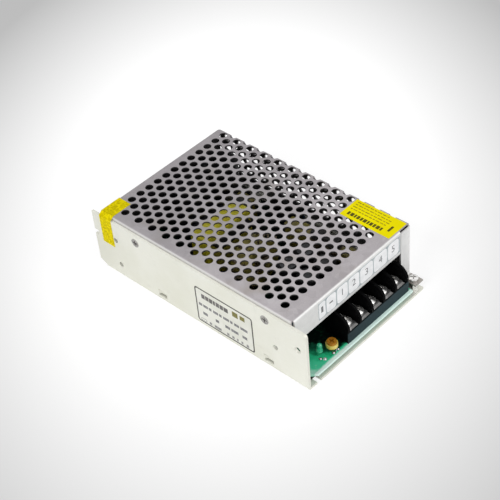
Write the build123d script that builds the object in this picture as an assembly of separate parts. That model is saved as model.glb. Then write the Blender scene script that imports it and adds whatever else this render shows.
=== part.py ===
"""An enclosed switching power supply: folded chassis, perforated cover and screw terminals.

Millimetres. The origin is on the floor under the middle of the case. X runs along the case to
the terminal end, Y across it away from the labelled near wall, Z up.
"""

from build123d import *
import math
import os

os.makedirs("parts", exist_ok=True)

# Case, outside sizes
case_length = 159.0
case_width = 98.0
case_height = 42.0

# Chassis: floor, near wall and a low far lip, folded from one sheet
chassis_sheet = 1.5
chassis_bend = 0.4
wall_drop = 2.0
wall_corner_radius = 2.0
ear_length = 5.0
ear_chamfer = 4.5
lip_height = 9.0
lip_left_inset = 9.5
lip_right_inset = 13.5
bridge_length = 6.5
bridge_strip = 2.6
bridge_slot = 0.9
bridge_push = 1.2
bridge_level = 5.6
bridge_from_left = 51.7
bridge_from_right = 27.5
wall_hole_radius = 1.6
high_hole_from_left = 17.6
high_hole_level = 26.9
low_hole_from_left = 18.7
low_hole_level = 9.5
right_hole_from_right = 21.9
right_hole_level = 18.1
end_hole_from_right = 6.3
end_hole_level = 26.3
notch_level = 25.3
end_hole_radius = 2.0
end_notch_depth = 3.5
floor_slot_depth = 6.0
floor_slot_from_near = 8.0
mount_spacing_x = 120.0
mount_spacing_y = 60.0
mount_hole_radius = 1.6

# Cover: perforated top and far wall, plain flanges, folded from one thinner sheet
cover_sheet = 1.0
cover_bend = 0.4
sheet_gap = 0.1
cover_left_inset = 6.0
terminal_ledge = 9.9
near_flange = 12.0
floor_gap = 0.5
label_flange = 15.5
end_strip = 8.6
fold_gap = 0.4
foot_level = 6.0
foot_inset = 0.6
foot_side_inset = 0.9
foot_screw_offset = 0.2

# Perforation: staggered columns of holes, each a polygon of the round hole's area
hole_diameter = 4.8
hole_sides = 6
row_step = 5.4
hole_pitch = 6.8
first_row_margin = 9.2
first_column_margin = 7.2
last_column_margin = 11.5
bend_allowance = 0.9
far_wall_plain = 15.5

# Fasteners
small_screw_radius = 1.5
thread_clearance = 0.05
hole_clearance = 0.15
countersink_radius = 2.9
countersink_depth = 1.0
screw_tip = 0.2
pan_head_radius = 2.8
pan_head_height = 1.9
pan_head_edge = 0.5
recess_width = 0.7
recess_depth = 1.0
cover_screw_drop = 7.8
cover_screw_left = 28.5
cover_screw_right = 18.4
far_screw_level = 5.5
far_screw_inset = 22.0
hidden_sides = 12

# Board
board_sheet = 1.6
board_gap = 2.3
board_front_inset = 0.7
board_left_gap = 1.0
board_near_gap = 4.0
board_far_gap = 0.6
corner_notch = 3.0
foot_notch_gap = 1.4
standoff_radius = 2.9
board_screw_tip_gap = 0.4
insulation_sheet = 0.25
insulation_inset = 1.5
insulation_front_inset = 3.5
insulation_window_gap = 0.5
left_post_inset = 6.0
left_post_from_near = 7.5
far_post_inset = 31.0
far_post_from_far = 4.0
middle_post_inset = 82.0
middle_post_from_near = 5.0
front_post_from_front = 22.5
front_post_from_near = 5.5
block_post_inset = 1.0
block_post_from_far = 3.4

# Terminal block: five bays between six barriers
bay_count = 5
bay_pitch = 10.0
barrier_sheet = 1.6
block_depth = 16.0
block_inset = 2.2
block_centre_y = 11.4
block_height = 17.0
barrier_front_height = 9.6
barrier_curve = 8.3
contact_seat_height = 6.1
front_lip_height = 1.1
front_lip_sheet = 0.8
back_wall_sheet = 2.0
contact_sheet = 0.8
contact_side_gap = 0.5
contact_front_gap = 0.2
contact_leg_width = 3.0
slot_clearance = 0.1
terminal_screw_radius = 1.75
terminal_screw_length = 6.4
terminal_head_radius = 3.3
terminal_head_height = 2.1
terminal_head_edge = 0.6
screw_from_front = 6.3
well_gap = 0.4
clamp_length = 7.4
clamp_width = 7.0
clamp_sheet = 1.0
clamp_gap = 0.1

# Status lamp and trimmer at the open corner
lamp_from_front = 9.2
lamp_from_near = 19.4
lamp_radius = 1.5
lamp_rim_radius = 1.8
lamp_rim_height = 0.8
lamp_leg_length = 2.8
lamp_body_height = 3.0
lamp_leg_spacing = 2.54
leg_size = 0.5
trimmer_from_front = 6.4
trimmer_from_near = 26.1
trimmer_radius = 3.3
trimmer_height = 2.2
trimmer_leg_length = 3.2
rotor_radius = 2.6
rotor_height = 1.2
rotor_pin_radius = 0.8
rotor_gap = 0.1

# Devices clipped to the near wall: two transistors at the left bridge, a diode at the right one
device_width = 10.0
device_depth = 4.5
device_body_height = 9.2
device_tab_height = 6.0
device_tab_sheet = 1.3
device_level = 2.6
device_hole_radius = 1.8
device_lead_drop = 1.2
device_lead_foot = 2.0
lead_pitch = 2.54
device_spacing = 18.0
pad_sheet = 0.3
pad_overlap = 1.0
clip_sheet = 0.6
clip_stem_width = 5.0
clip_head_width = 26.0
clip_head_height = 4.0
clip_head_level = 6.5
clip_hook = 0.8

# Mains side, placed from the left end and the far side of the board
bulk_radius = 11.0
bulk_height = 30.0
bulk_left_gap = 2.5
bulk_far_gap = 3.0
bulk_spacing = 24.0
part_gap = 2.0
driver_length = 16.0
driver_width = 16.0
driver_height = 15.0
driver_leg = 4.0
driver_core_depth = 5.0
driver_lift = 1.0
driver_foot = 3.0
driver_far_gap = 13.0
transformer_from_left = 50.5
transformer_from_near = 43.0
core_length = 35.0
core_depth = 12.0
core_height = 26.5
core_leg = 7.0
bobbin_sheet = 1.2
bobbin_base = 1.5
bobbin_pin = 2.0
bobbin_pin_inset = 2.0
winding_bulge = 7.0
winding_inset = 0.5
winding_corner = 3.0
tape_inset = 0.5
tape_sheet = 0.4
wrap_gap = 0.1
bridge_rectifier_length = 22.0
bridge_rectifier_depth = 4.0
bridge_rectifier_height = 15.0
bridge_rectifier_level = 3.5
bridge_rectifier_from_left = 59.5
bridge_rectifier_far_gap = 8.0
bridge_rectifier_corner = 3.0

# Line filter, placed from the terminal end and the far side of the board
film_length = 18.0
film_width = 8.0
film_height = 15.0
film_edge = 0.6
inlet_film_from_front = 33.0
middle_film_from_left = 78.0
film_far_gap = 12.5
fuse_length = 20.0
fuse_radius = 2.6
fuse_level = 4.5
fuse_from_front = 33.0
fuse_far_gap = 6.5
fuse_clip_length = 5.0
fuse_clip_sheet = 0.7
fuse_cap_overlap = 0.5
fuse_tube_step = 0.2
fuse_clip_gap = 0.02
thermistor_radius = 4.5
thermistor_depth = 3.5
thermistor_leg = 3.0
thermistor_gap = 5.0
disc_lead_spacing = 5.0
disc_lead_overlap = 1.5
line_core_length = 18.0
line_core_height = 18.0
line_core_depth = 5.5
line_core_leg = 5.0
line_core_lift = 1.5
line_core_offset = 1.0
line_lead = 3.0
line_lead_depth = 1.5
line_winding_gap = 0.2
line_winding_sheet = 2.0
line_winding_side = 1.4
line_winding_corner = 1.0

# Output side
ring_radius = 13.5
ring_bore = 7.2
ring_depth = 11.0
ring_from_left = 77.5
ring_wire = 1.3
ring_turns = 12
ring_level = 2.0
ring_offset = 2.0
ring_sides = 24
ring_pad_length = 6.0
ring_pad_width = 1.2
ring_pad_height = 1.0
ring_pad_offset = 6.0
output_capacitor_radius = 6.2
output_capacitor_height = 25.0
output_capacitor_spacing = 14.0
output_capacitors_gap = 10.5
output_capacitors_from_near = 42.5
chip_length = 20.0
chip_width = 6.4
chip_height = 3.3
chip_level = 0.6
chip_from_front = 41.0
chip_from_near = 17.0
chip_pin_width = 1.0
chip_pin_count = 8
disc_radius = 4.0
disc_depth = 2.6
disc_leg = 2.5
y_capacitor_from_near = 14.0
y_capacitor_from_far = 3.0
y_capacitor_from_left = 53.5
y_capacitor_spacing = 11.0
small_capacitor_radius = 2.5
small_capacitor_height = 11.0
small_pitch = 7.0
small_row_from_near = 3.5
small_row_from_chip = 20.0
resistor_radius = 1.2
resistor_length = 6.5
resistor_lift = 0.3
resistor_lead = 1.0
resistor_spacing_x = 11.0
resistor_spacing_y = 3.4
resistor_from_chip = 3.0
resistor_inset = 4.0
power_resistor_radius = 2.4
power_resistor_length = 14.0
power_resistor_from_left = 25.5
power_resistor_from_near = 20.0
snubber_length = 10.0
snubber_depth = 4.4
snubber_height = 8.0
snubber_lift = 1.0
snubber_edge = 1.0
snubber_lead_spacing = 7.0
snubber_from_near = 10.5

# Labels
label_sheet = 0.1
side_label_length = 42.0
side_label_height = 25.5
side_label_right_inset = 37.5
side_label_level = 3.5
side_label_corner = 1.0
top_sticker_length = 34.0
top_sticker_width = 15.5
top_sticker_inset = 1.6
seal_length = 9.5
seal_top_width = 13.0
seal_drop = 19.0
seal_inset = 0.3
seal_slope = 0.6
seal_edge_gap = 0.05
marking_length = 67.5
marking_height = 11.5
marking_drop = 2.0
marking_far_inset = 0.5

# Places worked out from the sizes above
end = case_length / 2
side = case_width / 2
near_in = -side + chassis_sheet
floor_left = -end + ear_length
wall_top = case_height - wall_drop
cover_left = -end + cover_left_inset
cover_right = end - terminal_ledge
cover_near = near_in + sheet_gap
lip_out = side - cover_sheet - sheet_gap
lip_in = lip_out - chassis_sheet
board_bottom = chassis_sheet + board_gap
board_top = board_bottom + board_sheet
board_left = cover_left + cover_sheet + board_left_gap
board_front = end - board_front_inset
board_near = near_in + board_near_gap
board_far = lip_in - board_far_gap
fold = cover_sheet + cover_bend
lapped_sheets = chassis_sheet + cover_sheet + sheet_gap
strip_near = side - end_strip
foot_x = (cover_right + end) / 2 + foot_screw_offset
foot_y = side - end_strip / 2 + foot_screw_offset
block_front = end - block_inset
block_back = block_front - block_depth
block_near = block_centre_y - bay_count * bay_pitch / 2
contact_top = board_top + contact_seat_height + contact_sheet
screw_x = block_front - screw_from_front
clamp_bottom = contact_top + clamp_gap
head_bottom = clamp_bottom + clamp_sheet + thread_clearance
left_bridge = -end + bridge_from_left
right_bridge = end - bridge_from_right
transistor_places = [left_bridge - device_spacing / 2, left_bridge + device_spacing / 2]
diode_place = right_bridge - device_spacing / 2


def block(x0, x1, y0, y1, z0, z1):
    """A rectangular solid between two corners."""
    middle = Pos((x0 + x1) / 2, (y0 + y1) / 2, (z0 + z1) / 2)
    return middle * Box(x1 - x0, y1 - y0, z1 - z0)


def rod(x, y, z0, z1, radius):
    """An upright cylinder."""
    return Pos(x, y, (z0 + z1) / 2) * Cylinder(radius, z1 - z0)


def rod_y(x, z, y0, y1, radius):
    """A cylinder across the case."""
    return Pos(x, (y0 + y1) / 2, z) * Rot(90, 0, 0) * Cylinder(radius, y1 - y0)


def prism(x, y, z0, z1, radius):
    """An upright many-sided post inside a radius, for round pieces under the cover."""
    return Pos(x, y, z0) * extrude(RegularPolygon(radius, hidden_sides), z1 - z0)


def many_sided_hole(x, y, z0, z1, radius):
    """An upright many-sided hole that clears a radius."""
    return Pos(x, y, z0) * extrude(RegularPolygon(radius, hidden_sides, major_radius=False), z1 - z0)


def prism_x(x0, x1, y, z, radius):
    """A many-sided bar along the case."""
    return Pos(x0, y, z) * extrude(Plane.YZ * RegularPolygon(radius, hidden_sides), x1 - x0)


def prism_y(x, z, y0, y1, radius):
    """A many-sided bar across the case."""
    return Pos(x, y1, z) * extrude(Plane.XZ * RegularPolygon(radius, hidden_sides), y1 - y0)


def folded(plane, outer, inner, sheet, bend, depth):
    """A sheet bent along an outline on a plane, drawn out by depth."""
    outside = FilletPolyline(*outer, radius=bend + sheet)
    inside = FilletPolyline(*inner, radius=bend)
    first = Line(outside @ 0, inside @ 0)
    last = Line(outside @ 1, inside @ 1)
    return extrude(plane * make_face(outside + first + inside + last), depth)


def sheet_outline(plane, points, depth):
    """A flat piece cut to an outline on a plane, drawn out by depth."""
    return extrude(plane * make_face(Polyline(*points, close=True)), depth)


def save(name, shape):
    """Writes one node."""
    export_step(shape, f"parts/{name}.step")


def lanced_bridge(x):
    """A strip of the near wall pushed inward between two slots, as an anchor for a clip."""
    half = bridge_length / 2
    run = bridge_push
    outline = [
        (x - half, -side),
        (x - half + run, -side + bridge_push),
        (x + half - run, -side + bridge_push),
        (x + half, -side),
        (x + half, near_in),
        (x + half - run, near_in + bridge_push),
        (x - half + run, near_in + bridge_push),
        (x - half, near_in),
    ]
    low = bridge_level - bridge_strip / 2
    return sheet_outline(Plane.XY.offset(low), outline, bridge_strip)


def bridge_window(x):
    """The opening in the near wall that holds a lanced bridge."""
    reach = bridge_strip / 2 + bridge_slot
    half = bridge_length / 2
    return block(x - half, x + half, -side, near_in, bridge_level - reach, bridge_level + reach)


def countersunk_hole(x, z, face_y, inward):
    """A countersunk clearance hole; inward is +1 from the near face, -1 from the far face."""
    shank = small_screw_radius + hole_clearance
    cone = Cone(countersink_radius, shank, countersink_depth)
    mouth = Pos(x, face_y + inward * countersink_depth / 2, z) * Rot(-90 * inward, 0, 0) * cone
    start, stop = sorted((face_y, face_y + inward * lapped_sheets))
    return mouth + rod_y(x, z, start, stop, shank)


def near_screw_places():
    """The cover screws on the near wall: x and z."""
    level = case_height - cover_screw_drop
    return [(cover_left + cover_screw_left, level), (cover_right - cover_screw_right, level)]


def far_screw_places():
    """The cover screws on the far wall: x and z."""
    left, right = cover_left + far_screw_inset, cover_right - far_screw_inset
    return [(left, far_screw_level), (right, far_screw_level)]


def chassis():
    """Floor, near wall and far lip, with the mounting holes and the clip anchors."""
    outer = [(-side, wall_top), (-side, 0), (lip_out, 0), (lip_out, lip_height)]
    floor = chassis_sheet
    inner = [(near_in, wall_top), (near_in, floor), (lip_in, floor), (lip_in, lip_height)]
    start = Plane.YZ.offset(floor_left)
    body = folded(start, outer, inner, chassis_sheet, chassis_bend, end - floor_left)
    ear_foot = chassis_bend + chassis_sheet
    ear = [(-end, ear_chamfer), (floor_left, ear_foot), (floor_left, wall_top), (-end, wall_top)]
    body += sheet_outline(Plane.XZ.offset(side), ear, -chassis_sheet)
    above = lip_in - chassis_bend
    body -= block(end - lip_right_inset, end, above, lip_out, chassis_sheet, lip_height)
    body -= block(floor_left, -end + lip_left_inset, above, lip_out, chassis_sheet, lip_height)
    body = body - wall_cuts() - floor_cuts()
    for x in (left_bridge, right_bridge):
        body = body - bridge_window(x) + lanced_bridge(x)
    corner = body.edges().filter_by(Axis.Y).filter_by(lambda e: e.length > chassis_sheet * 0.9)
    corner = corner.sort_by(lambda e: e.center().X + e.center().Z)[-1]
    return fillet(corner, wall_corner_radius)


def wall_cuts():
    """Mounting holes, the open end notch and the cover screw holes of the near wall."""
    notch_end = -end + end_notch_depth - wall_hole_radius
    holes = [
        (-end + high_hole_from_left, high_hole_level, wall_hole_radius),
        (-end + low_hole_from_left, low_hole_level, wall_hole_radius),
        (end - right_hole_from_right, right_hole_level, wall_hole_radius),
        (end - end_hole_from_right, end_hole_level, end_hole_radius),
        (notch_end, notch_level, wall_hole_radius),
    ]
    cuts = [rod_y(x, z, -side, near_in, radius) for x, z, radius in holes]
    low, high = notch_level - wall_hole_radius, notch_level + wall_hole_radius
    cuts.append(block(-end, notch_end, -side, near_in, low, high))
    cuts += [countersunk_hole(x, z, -side, 1) for x, z in near_screw_places()]
    cuts += [countersunk_hole(x, z, side, -1) for x, z in far_screw_places()]
    return cuts


def floor_hole_places():
    """The four mounting holes of the floor."""
    half_x, half_y = mount_spacing_x / 2, mount_spacing_y / 2
    return [(x, y) for x in (-half_x, half_x) for y in (-half_y, half_y)]


def floor_cuts():
    """The four mounting holes of the floor and its open slot at the terminal end."""
    cuts = [rod(x, y, 0, chassis_sheet, mount_hole_radius) for x, y in floor_hole_places()]
    slot_y = -side + floor_slot_from_near
    slot_end = end - floor_slot_depth + wall_hole_radius
    cuts.append(rod(slot_end, slot_y, 0, chassis_sheet, wall_hole_radius))
    cuts.append(block(slot_end, end, slot_y - wall_hole_radius, slot_y + wall_hole_radius, 0, chassis_sheet))
    return cuts


def hole_places():
    """The perforation, unrolled over the top and the far wall: x and distance across."""
    first = cover_left + first_column_margin
    columns = int((cover_right - last_column_margin - first) / row_step) + 1
    reach = side + case_height - far_wall_plain
    places = []
    for column in range(columns):
        start = -side + first_row_margin + (hole_pitch / 2 if column % 2 == 0 else 0)
        count = int((reach - start) / hole_pitch) + 1
        places += [(first + column * row_step, start + n * hole_pitch) for n in range(count)]
    return places


def hole_outline(x, y):
    """One hole's edge on a plane: a polygon of the round hole's area."""
    part = 2 * math.pi / hole_sides
    radius = hole_diameter / 2 * math.sqrt(part / math.sin(part))
    corners = [(x + radius * math.cos(part * i), y + radius * math.sin(part * i)) for i in range(hole_sides)]
    return Polyline(*corners, close=True)


def perforated(plane, width, height, centre, places, sheet):
    """A flat panel with its holes, drawn out along the plane's normal."""
    cx, cy = centre
    frame = [
        (cx - width / 2, cy - height / 2),
        (cx + width / 2, cy - height / 2),
        (cx + width / 2, cy + height / 2),
        (cx - width / 2, cy + height / 2),
    ]
    edge = Wire(Polyline(*frame, close=True).edges())
    holes = [Wire(hole_outline(x, y).edges()) for x, y in places]
    return extrude(plane * Face(edge, holes), sheet)


def cover():
    """Top, far wall and flanges of the cover, with the perforation through top and far wall."""
    left, right = cover_left + fold, cover_right - fold
    reach = hole_diameter / 2 * 0.96
    top_holes = [(x, u) for x, u in hole_places() if u + reach < side - fold]
    bend_holes = [(x, u) for x, u in hole_places() if side - fold <= u + reach and u - reach < side]
    unrolled = case_height - bend_allowance + side
    wall_holes = [(x, unrolled - u) for x, u in hole_places() if u - reach >= side]
    width = right - left
    middle = (left + right) / 2
    across = side - fold - (cover_near + fold)
    top_centre = (middle, (side - fold + cover_near + fold) / 2)
    top = Plane.XY.offset(case_height - cover_sheet)
    body = perforated(top, width, across, top_centre, top_holes, cover_sheet)
    drop = case_height - fold - floor_gap
    wall_centre = (middle, floor_gap + drop / 2)
    wall = Plane.XZ.offset(-side)
    body += perforated(wall, width, drop, wall_centre, wall_holes, cover_sheet)
    body += far_bend(left, width, bend_holes)
    body += near_side_flange(left, width)
    body += left_end_flange() + terminal_label_flange() + far_end_strip()
    for x, z in near_screw_places():
        body -= rod_y(x, z, cover_near, cover_near + cover_sheet, small_screw_radius + thread_clearance)
    for x, z in far_screw_places():
        body -= countersunk_hole(x, z, side, -1)
    return body


def far_bend(left, width, places):
    """The rounded edge between top and far wall, with the row of holes that straddles it."""
    outer = [(side - fold, case_height), (side, case_height), (side, case_height - fold)]
    bend = fold_profile(Plane.YZ.offset(left), outer, (-1, -1), width)
    for x, u in places:
        cut = Pos(x, side, case_height) * Rot(-45, 0, 0) * Pos(0, (u - side) * 0.7, 0)
        bend -= cut * Pos(0, 0, -2 * fold) * extrude(make_face(hole_outline(0, 0)), 4 * fold)
    return bend


def fold_profile(plane, corner, inward, depth):
    """A quarter bend in the sheet: outer arc at a corner, inner arc one sheet inside it."""
    (ax, ay), (cx, cy), (bx, by) = corner
    sx, sy = inward
    px, py = cx + sx * fold, cy + sy * fold
    turn = math.sqrt(0.5)
    outer_middle = (px - sx * fold * turn, py - sy * fold * turn)
    inner_middle = (px - sx * cover_bend * turn, py - sy * cover_bend * turn)
    a_in = (ax, ay + sy * cover_sheet) if ay == cy else (ax + sx * cover_sheet, ay)
    b_in = (bx + sx * cover_sheet, by) if bx == cx else (bx, by + sy * cover_sheet)
    outer = ThreePointArc((ax, ay), outer_middle, (bx, by))
    inner = ThreePointArc(a_in, inner_middle, b_in)
    face = make_face(outer + Line((bx, by), b_in) + inner + Line(a_in, (ax, ay)))
    return extrude(plane * face, depth)


def near_side_flange(left, width):
    """The flange that laps inside the near wall."""
    low, high = case_height - fold, case_height
    corner = [(cover_near, low), (cover_near, high), (cover_near + fold, high)]
    bend = fold_profile(Plane.YZ.offset(left), corner, (1, -1), width)
    low = case_height - near_flange
    flange = block(left, left + width, cover_near, cover_near + cover_sheet, low, case_height - fold)
    return bend + flange


def left_end_flange():
    """The closed left end, down to the floor."""
    start, stop = cover_near + fold, side - fold
    high = case_height
    corner = [(cover_left, high - fold), (cover_left, high), (cover_left + fold, high)]
    bend = fold_profile(Plane.XZ.offset(-stop), corner, (1, -1), stop - start)
    low = chassis_sheet + floor_gap
    flange = block(cover_left, cover_left + cover_sheet, start, stop, low, case_height - fold)
    return bend + flange


def terminal_label_flange():
    """The short flange over the terminals, which carries the marking strip."""
    start, stop = cover_near + fold, strip_near - fold_gap
    high = case_height
    corner = [(cover_right - fold, high), (cover_right, high), (cover_right, high - fold)]
    bend = fold_profile(Plane.XZ.offset(-stop), corner, (-1, -1), stop - start)
    low = case_height - label_flange
    flange = block(cover_right - cover_sheet, cover_right, start, stop, low, case_height - fold)
    return bend + flange


def far_end_strip():
    """The strip folded round the far corner at the terminal end, and the foot at its bottom."""
    high = case_height - fold - fold_gap
    low = foot_level + fold
    corner = [(cover_right - fold, side), (cover_right, side), (cover_right, side - fold)]
    bend = fold_profile(Plane.XY.offset(floor_gap), corner, (-1, -1), high - floor_gap)
    strip = block(cover_right - cover_sheet, cover_right, strip_near, side - fold, low, high)
    foot_near, foot_far = strip_near + foot_side_inset, side - foot_side_inset
    outer = [(cover_right - cover_sheet, low + cover_sheet), (cover_right - cover_sheet, foot_level)]
    outer.append((end - foot_inset, foot_level))
    inner = [(cover_right, low + cover_sheet), (cover_right, foot_level + cover_sheet)]
    inner.append((end - foot_inset, foot_level + cover_sheet))
    plane = Plane.XZ.offset(-foot_far)
    foot = folded(plane, outer, inner, cover_sheet, cover_bend, foot_far - foot_near)
    bend -= block(cover_right - fold, cover_right, side - fold, side, floor_gap, low)
    foot -= rod(foot_x, foot_y, foot_level, foot_level + cover_sheet, small_screw_radius + hole_clearance)
    return bend + strip + foot


def cross_recess(radius, z):
    """The cross cut into a screw head, from the height z down."""
    arm = radius * 0.62
    half = recess_width / 2
    one = block(-arm, arm, -half, half, z - recess_depth, z)
    return one + block(-half, half, -arm, arm, z - recess_depth, z)


def countersunk_screw():
    """A countersunk screw along -Z, its flat top at the origin."""
    depth = countersink_depth
    head = Pos(0, 0, -depth / 2) * Cone(small_screw_radius, countersink_radius - thread_clearance, depth)
    shank = prism(0, 0, -lapped_sheets - screw_tip, -depth, small_screw_radius)
    return head + shank - cross_recess(countersink_radius, 0)


def pan_screw(length):
    """A pan head screw along -Z, its head standing on the origin."""
    head = rod(0, 0, 0, pan_head_height, pan_head_radius)
    head = chamfer(head.edges().group_by(Axis.Z)[-1], pan_head_edge)
    shank = prism(0, 0, -length, 0, small_screw_radius)
    return head + shank - cross_recess(pan_head_radius, pan_head_height)


def cover_screws():
    """The countersunk screws of the cover: two in the near wall, two in the far wall."""
    near = [Pos(x, -side, z) * Rot(90, 0, 0) * countersunk_screw() for x, z in near_screw_places()]
    far = [Pos(x, side, z) * Rot(-90, 0, 0) * countersunk_screw() for x, z in far_screw_places()]
    return Compound(children=near + far)


def foot_spacer():
    """The threaded spacer that the cover's foot is screwed to."""
    return threaded_post(foot_x, foot_y, chassis_sheet, foot_level)


def threaded_post(x, y, low, high):
    """A hexagonal post with a bore for a small screw."""
    post = Pos(x, y, low) * extrude(RegularPolygon(standoff_radius, 6), high - low)
    return post - many_sided_hole(x, y, low, high, small_screw_radius + thread_clearance)


def standoff_places():
    """The board's fixing points."""
    return [
        (board_left + left_post_inset, board_near + left_post_from_near),
        (board_left + far_post_inset, board_far - far_post_from_far),
        (board_left + middle_post_inset, board_near + middle_post_from_near),
        (board_front - front_post_from_front, board_near + front_post_from_near),
        (block_back + block_post_inset, board_far - block_post_from_far),
    ]


def board():
    """The circuit board, notched for the foot and at the near corner of the terminal end."""
    foot_edge = strip_near - foot_notch_gap
    foot_start = cover_right - cover_sheet - foot_notch_gap
    outline = [
        (board_left, board_near),
        (board_front - corner_notch, board_near),
        (board_front, board_near + corner_notch),
        (board_front, foot_edge),
        (foot_start, foot_edge),
        (foot_start, board_far),
        (board_left, board_far),
    ]
    sheet = sheet_outline(Plane.XY.offset(board_bottom), outline, board_sheet)
    for x, y in standoff_places():
        sheet -= many_sided_hole(x, y, board_bottom, board_top, small_screw_radius + hole_clearance)
    return sheet


def insulation():
    """The thin insulating sheet on the chassis floor, with square windows at each fixing point."""
    front = end - insulation_front_inset
    left = board_left + insulation_inset
    high = chassis_sheet + insulation_sheet
    sheet = block(left, front, board_near, lip_in - insulation_inset, chassis_sheet, high)
    half = standoff_radius + insulation_window_gap
    for x, y in standoff_places() + [(foot_x, foot_y)] + floor_hole_places():
        sheet -= block(x - half, x + half, y - half, y + half, chassis_sheet, high)
    return sheet


def board_standoffs():
    """Hexagonal standoffs pressed into the floor under the board."""
    made = [threaded_post(x, y, chassis_sheet, board_bottom) for x, y in standoff_places()]
    return Compound(children=made)


def board_screws():
    """The screws that hold the board on its standoffs, their heads left plain under the cover."""
    low = board_bottom - board_gap + board_screw_tip_gap
    made = []
    for x, y in standoff_places():
        head = prism(x, y, board_top, board_top + pan_head_height, pan_head_radius)
        made.append(head + prism(x, y, low, board_top, small_screw_radius))
    return Compound(children=made)


def barrier(y):
    """One barrier of the terminal block, with its curved front."""
    top = board_top + block_height
    brow = board_top + barrier_front_height
    crest = block_front - barrier_curve
    turn = math.sqrt(0.5)
    middle = (crest + barrier_curve * turn, brow + (top - brow) * turn)
    back, front = block_back, block_front
    edges = Polyline((crest, top), (back, top), (back, board_top), (front, board_top), (front, brow))
    face = make_face(edges + ThreePointArc((front, brow), middle, (crest, top)))
    return extrude(Plane.XZ.offset(-y - barrier_sheet / 2) * face, barrier_sheet)


def bay_centres():
    """The five bays' middles, across the case."""
    return [block_near + (i + 0.5) * bay_pitch for i in range(bay_count)]


def terminal_housing():
    """The moulded block: base, back wall, front lip and six barriers."""
    far = block_near + bay_count * bay_pitch
    seat = board_top + contact_seat_height
    body = block(block_back, block_front, block_near, far, board_top, seat)
    body += block(block_back, block_back + back_wall_sheet, block_near, far, seat, board_top + block_height)
    body += block(block_front - front_lip_sheet, block_front, block_near, far, seat, seat + front_lip_height)
    for i in range(bay_count + 1):
        body += barrier(block_near + i * bay_pitch)
    leg_x = block_back + back_wall_sheet
    half = contact_leg_width / 2 + slot_clearance
    for y in bay_centres():
        floor = head_bottom - terminal_screw_length - well_gap
        body -= many_sided_hole(screw_x, y, floor, seat, terminal_screw_radius + well_gap)
        body -= block(leg_x, leg_x + contact_sheet + 2 * slot_clearance, y - half, y + half, board_top, seat)
    return body


def terminal_contacts():
    """The five tinned brackets: a threaded tongue on the seat and a leg down to the board."""
    made = []
    start = block_back + back_wall_sheet + slot_clearance
    stop = block_front - front_lip_sheet - contact_front_gap
    half = (bay_pitch - barrier_sheet) / 2 - contact_side_gap
    seat = board_top + contact_seat_height
    leg = contact_leg_width / 2
    for y in bay_centres():
        tongue = block(start, stop, y - half, y + half, seat, contact_top)
        tongue -= many_sided_hole(screw_x, y, seat, contact_top, terminal_screw_radius + thread_clearance)
        made.append(tongue + block(start, start + contact_sheet, y - leg, y + leg, board_top, seat))
    return Compound(children=made)


def clamp_plate(y):
    """A square clamp plate, held loosely under its screw's head."""
    half = clamp_width / 2
    top = clamp_bottom + clamp_sheet
    start, stop = screw_x - clamp_length / 2, screw_x + clamp_length / 2
    plate = block(start, stop, y - half, y + half, clamp_bottom, top)
    return plate - many_sided_hole(screw_x, y, clamp_bottom, top, terminal_screw_radius + hole_clearance)


def terminal_screw(y):
    """A terminal screw, standing on its clamp plate."""
    top = terminal_head_height
    head = rod(0, 0, 0, top, terminal_head_radius)
    head = chamfer(head.edges().group_by(Axis.Z)[-1], terminal_head_edge)
    screw = head + prism(0, 0, -terminal_screw_length, 0, terminal_screw_radius)
    screw -= cross_recess(terminal_head_radius, top)
    return Pos(screw_x, y, head_bottom) * screw


def lamp():
    """The status lamp's domed lens."""
    x, y = end - lamp_from_front, -side + lamp_from_near
    low = board_top + lamp_leg_length
    high = low + lamp_rim_height + lamp_body_height
    lens = rod(x, y, low, low + lamp_rim_height, lamp_rim_radius)
    lens += rod(x, y, low + lamp_rim_height, high, lamp_radius)
    return lens + Pos(x, y, high) * Sphere(lamp_radius)


def upright_leg(x, y, length):
    """A square lead that stands on the board."""
    half = leg_size / 2
    return block(x - half, x + half, y - half, y + half, board_top, board_top + length)


def lamp_legs():
    """The lamp's two leads."""
    x, y = end - lamp_from_front, -side + lamp_from_near
    half = lamp_leg_spacing / 2
    return Compound(children=[upright_leg(x, y + s * half, lamp_leg_length) for s in (-1, 1)])


def trimmer_place():
    """The trimmer's axis."""
    return end - trimmer_from_front, -side + trimmer_from_near


def trimmer_body():
    """The trimmer's moulded disc, with the seat of its rotor."""
    x, y = trimmer_place()
    low = board_top + trimmer_leg_length
    disc = rod(x, y, low, low + trimmer_height, trimmer_radius)
    disc -= rod(x, y, low + trimmer_height / 2, low + trimmer_height, rotor_radius + rotor_gap)
    return disc - rod(x, y, low, low + trimmer_height, rotor_pin_radius + thread_clearance)


def trimmer_rotor():
    """The turning part of the trimmer, with its screwdriver slot."""
    x, y = trimmer_place()
    low = board_top + trimmer_leg_length
    seat = low + trimmer_height / 2 + rotor_gap
    top = seat + rotor_height + trimmer_height / 2
    rotor = rod(x, y, seat, top, rotor_radius)
    rotor += rod(x, y, low + rotor_gap, seat, rotor_pin_radius)
    return rotor - Pos(x, y, 0) * cross_recess(rotor_radius, top)


def trimmer_legs():
    """The trimmer's three leads."""
    x, y = trimmer_place()
    reach = trimmer_radius - leg_size
    turns = [math.radians(a) for a in (0, 120, 240)]
    places = [(x + reach * math.cos(a), y + reach * math.sin(a)) for a in turns]
    return Compound(children=[upright_leg(px, py, trimmer_leg_length) for px, py in places])


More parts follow.
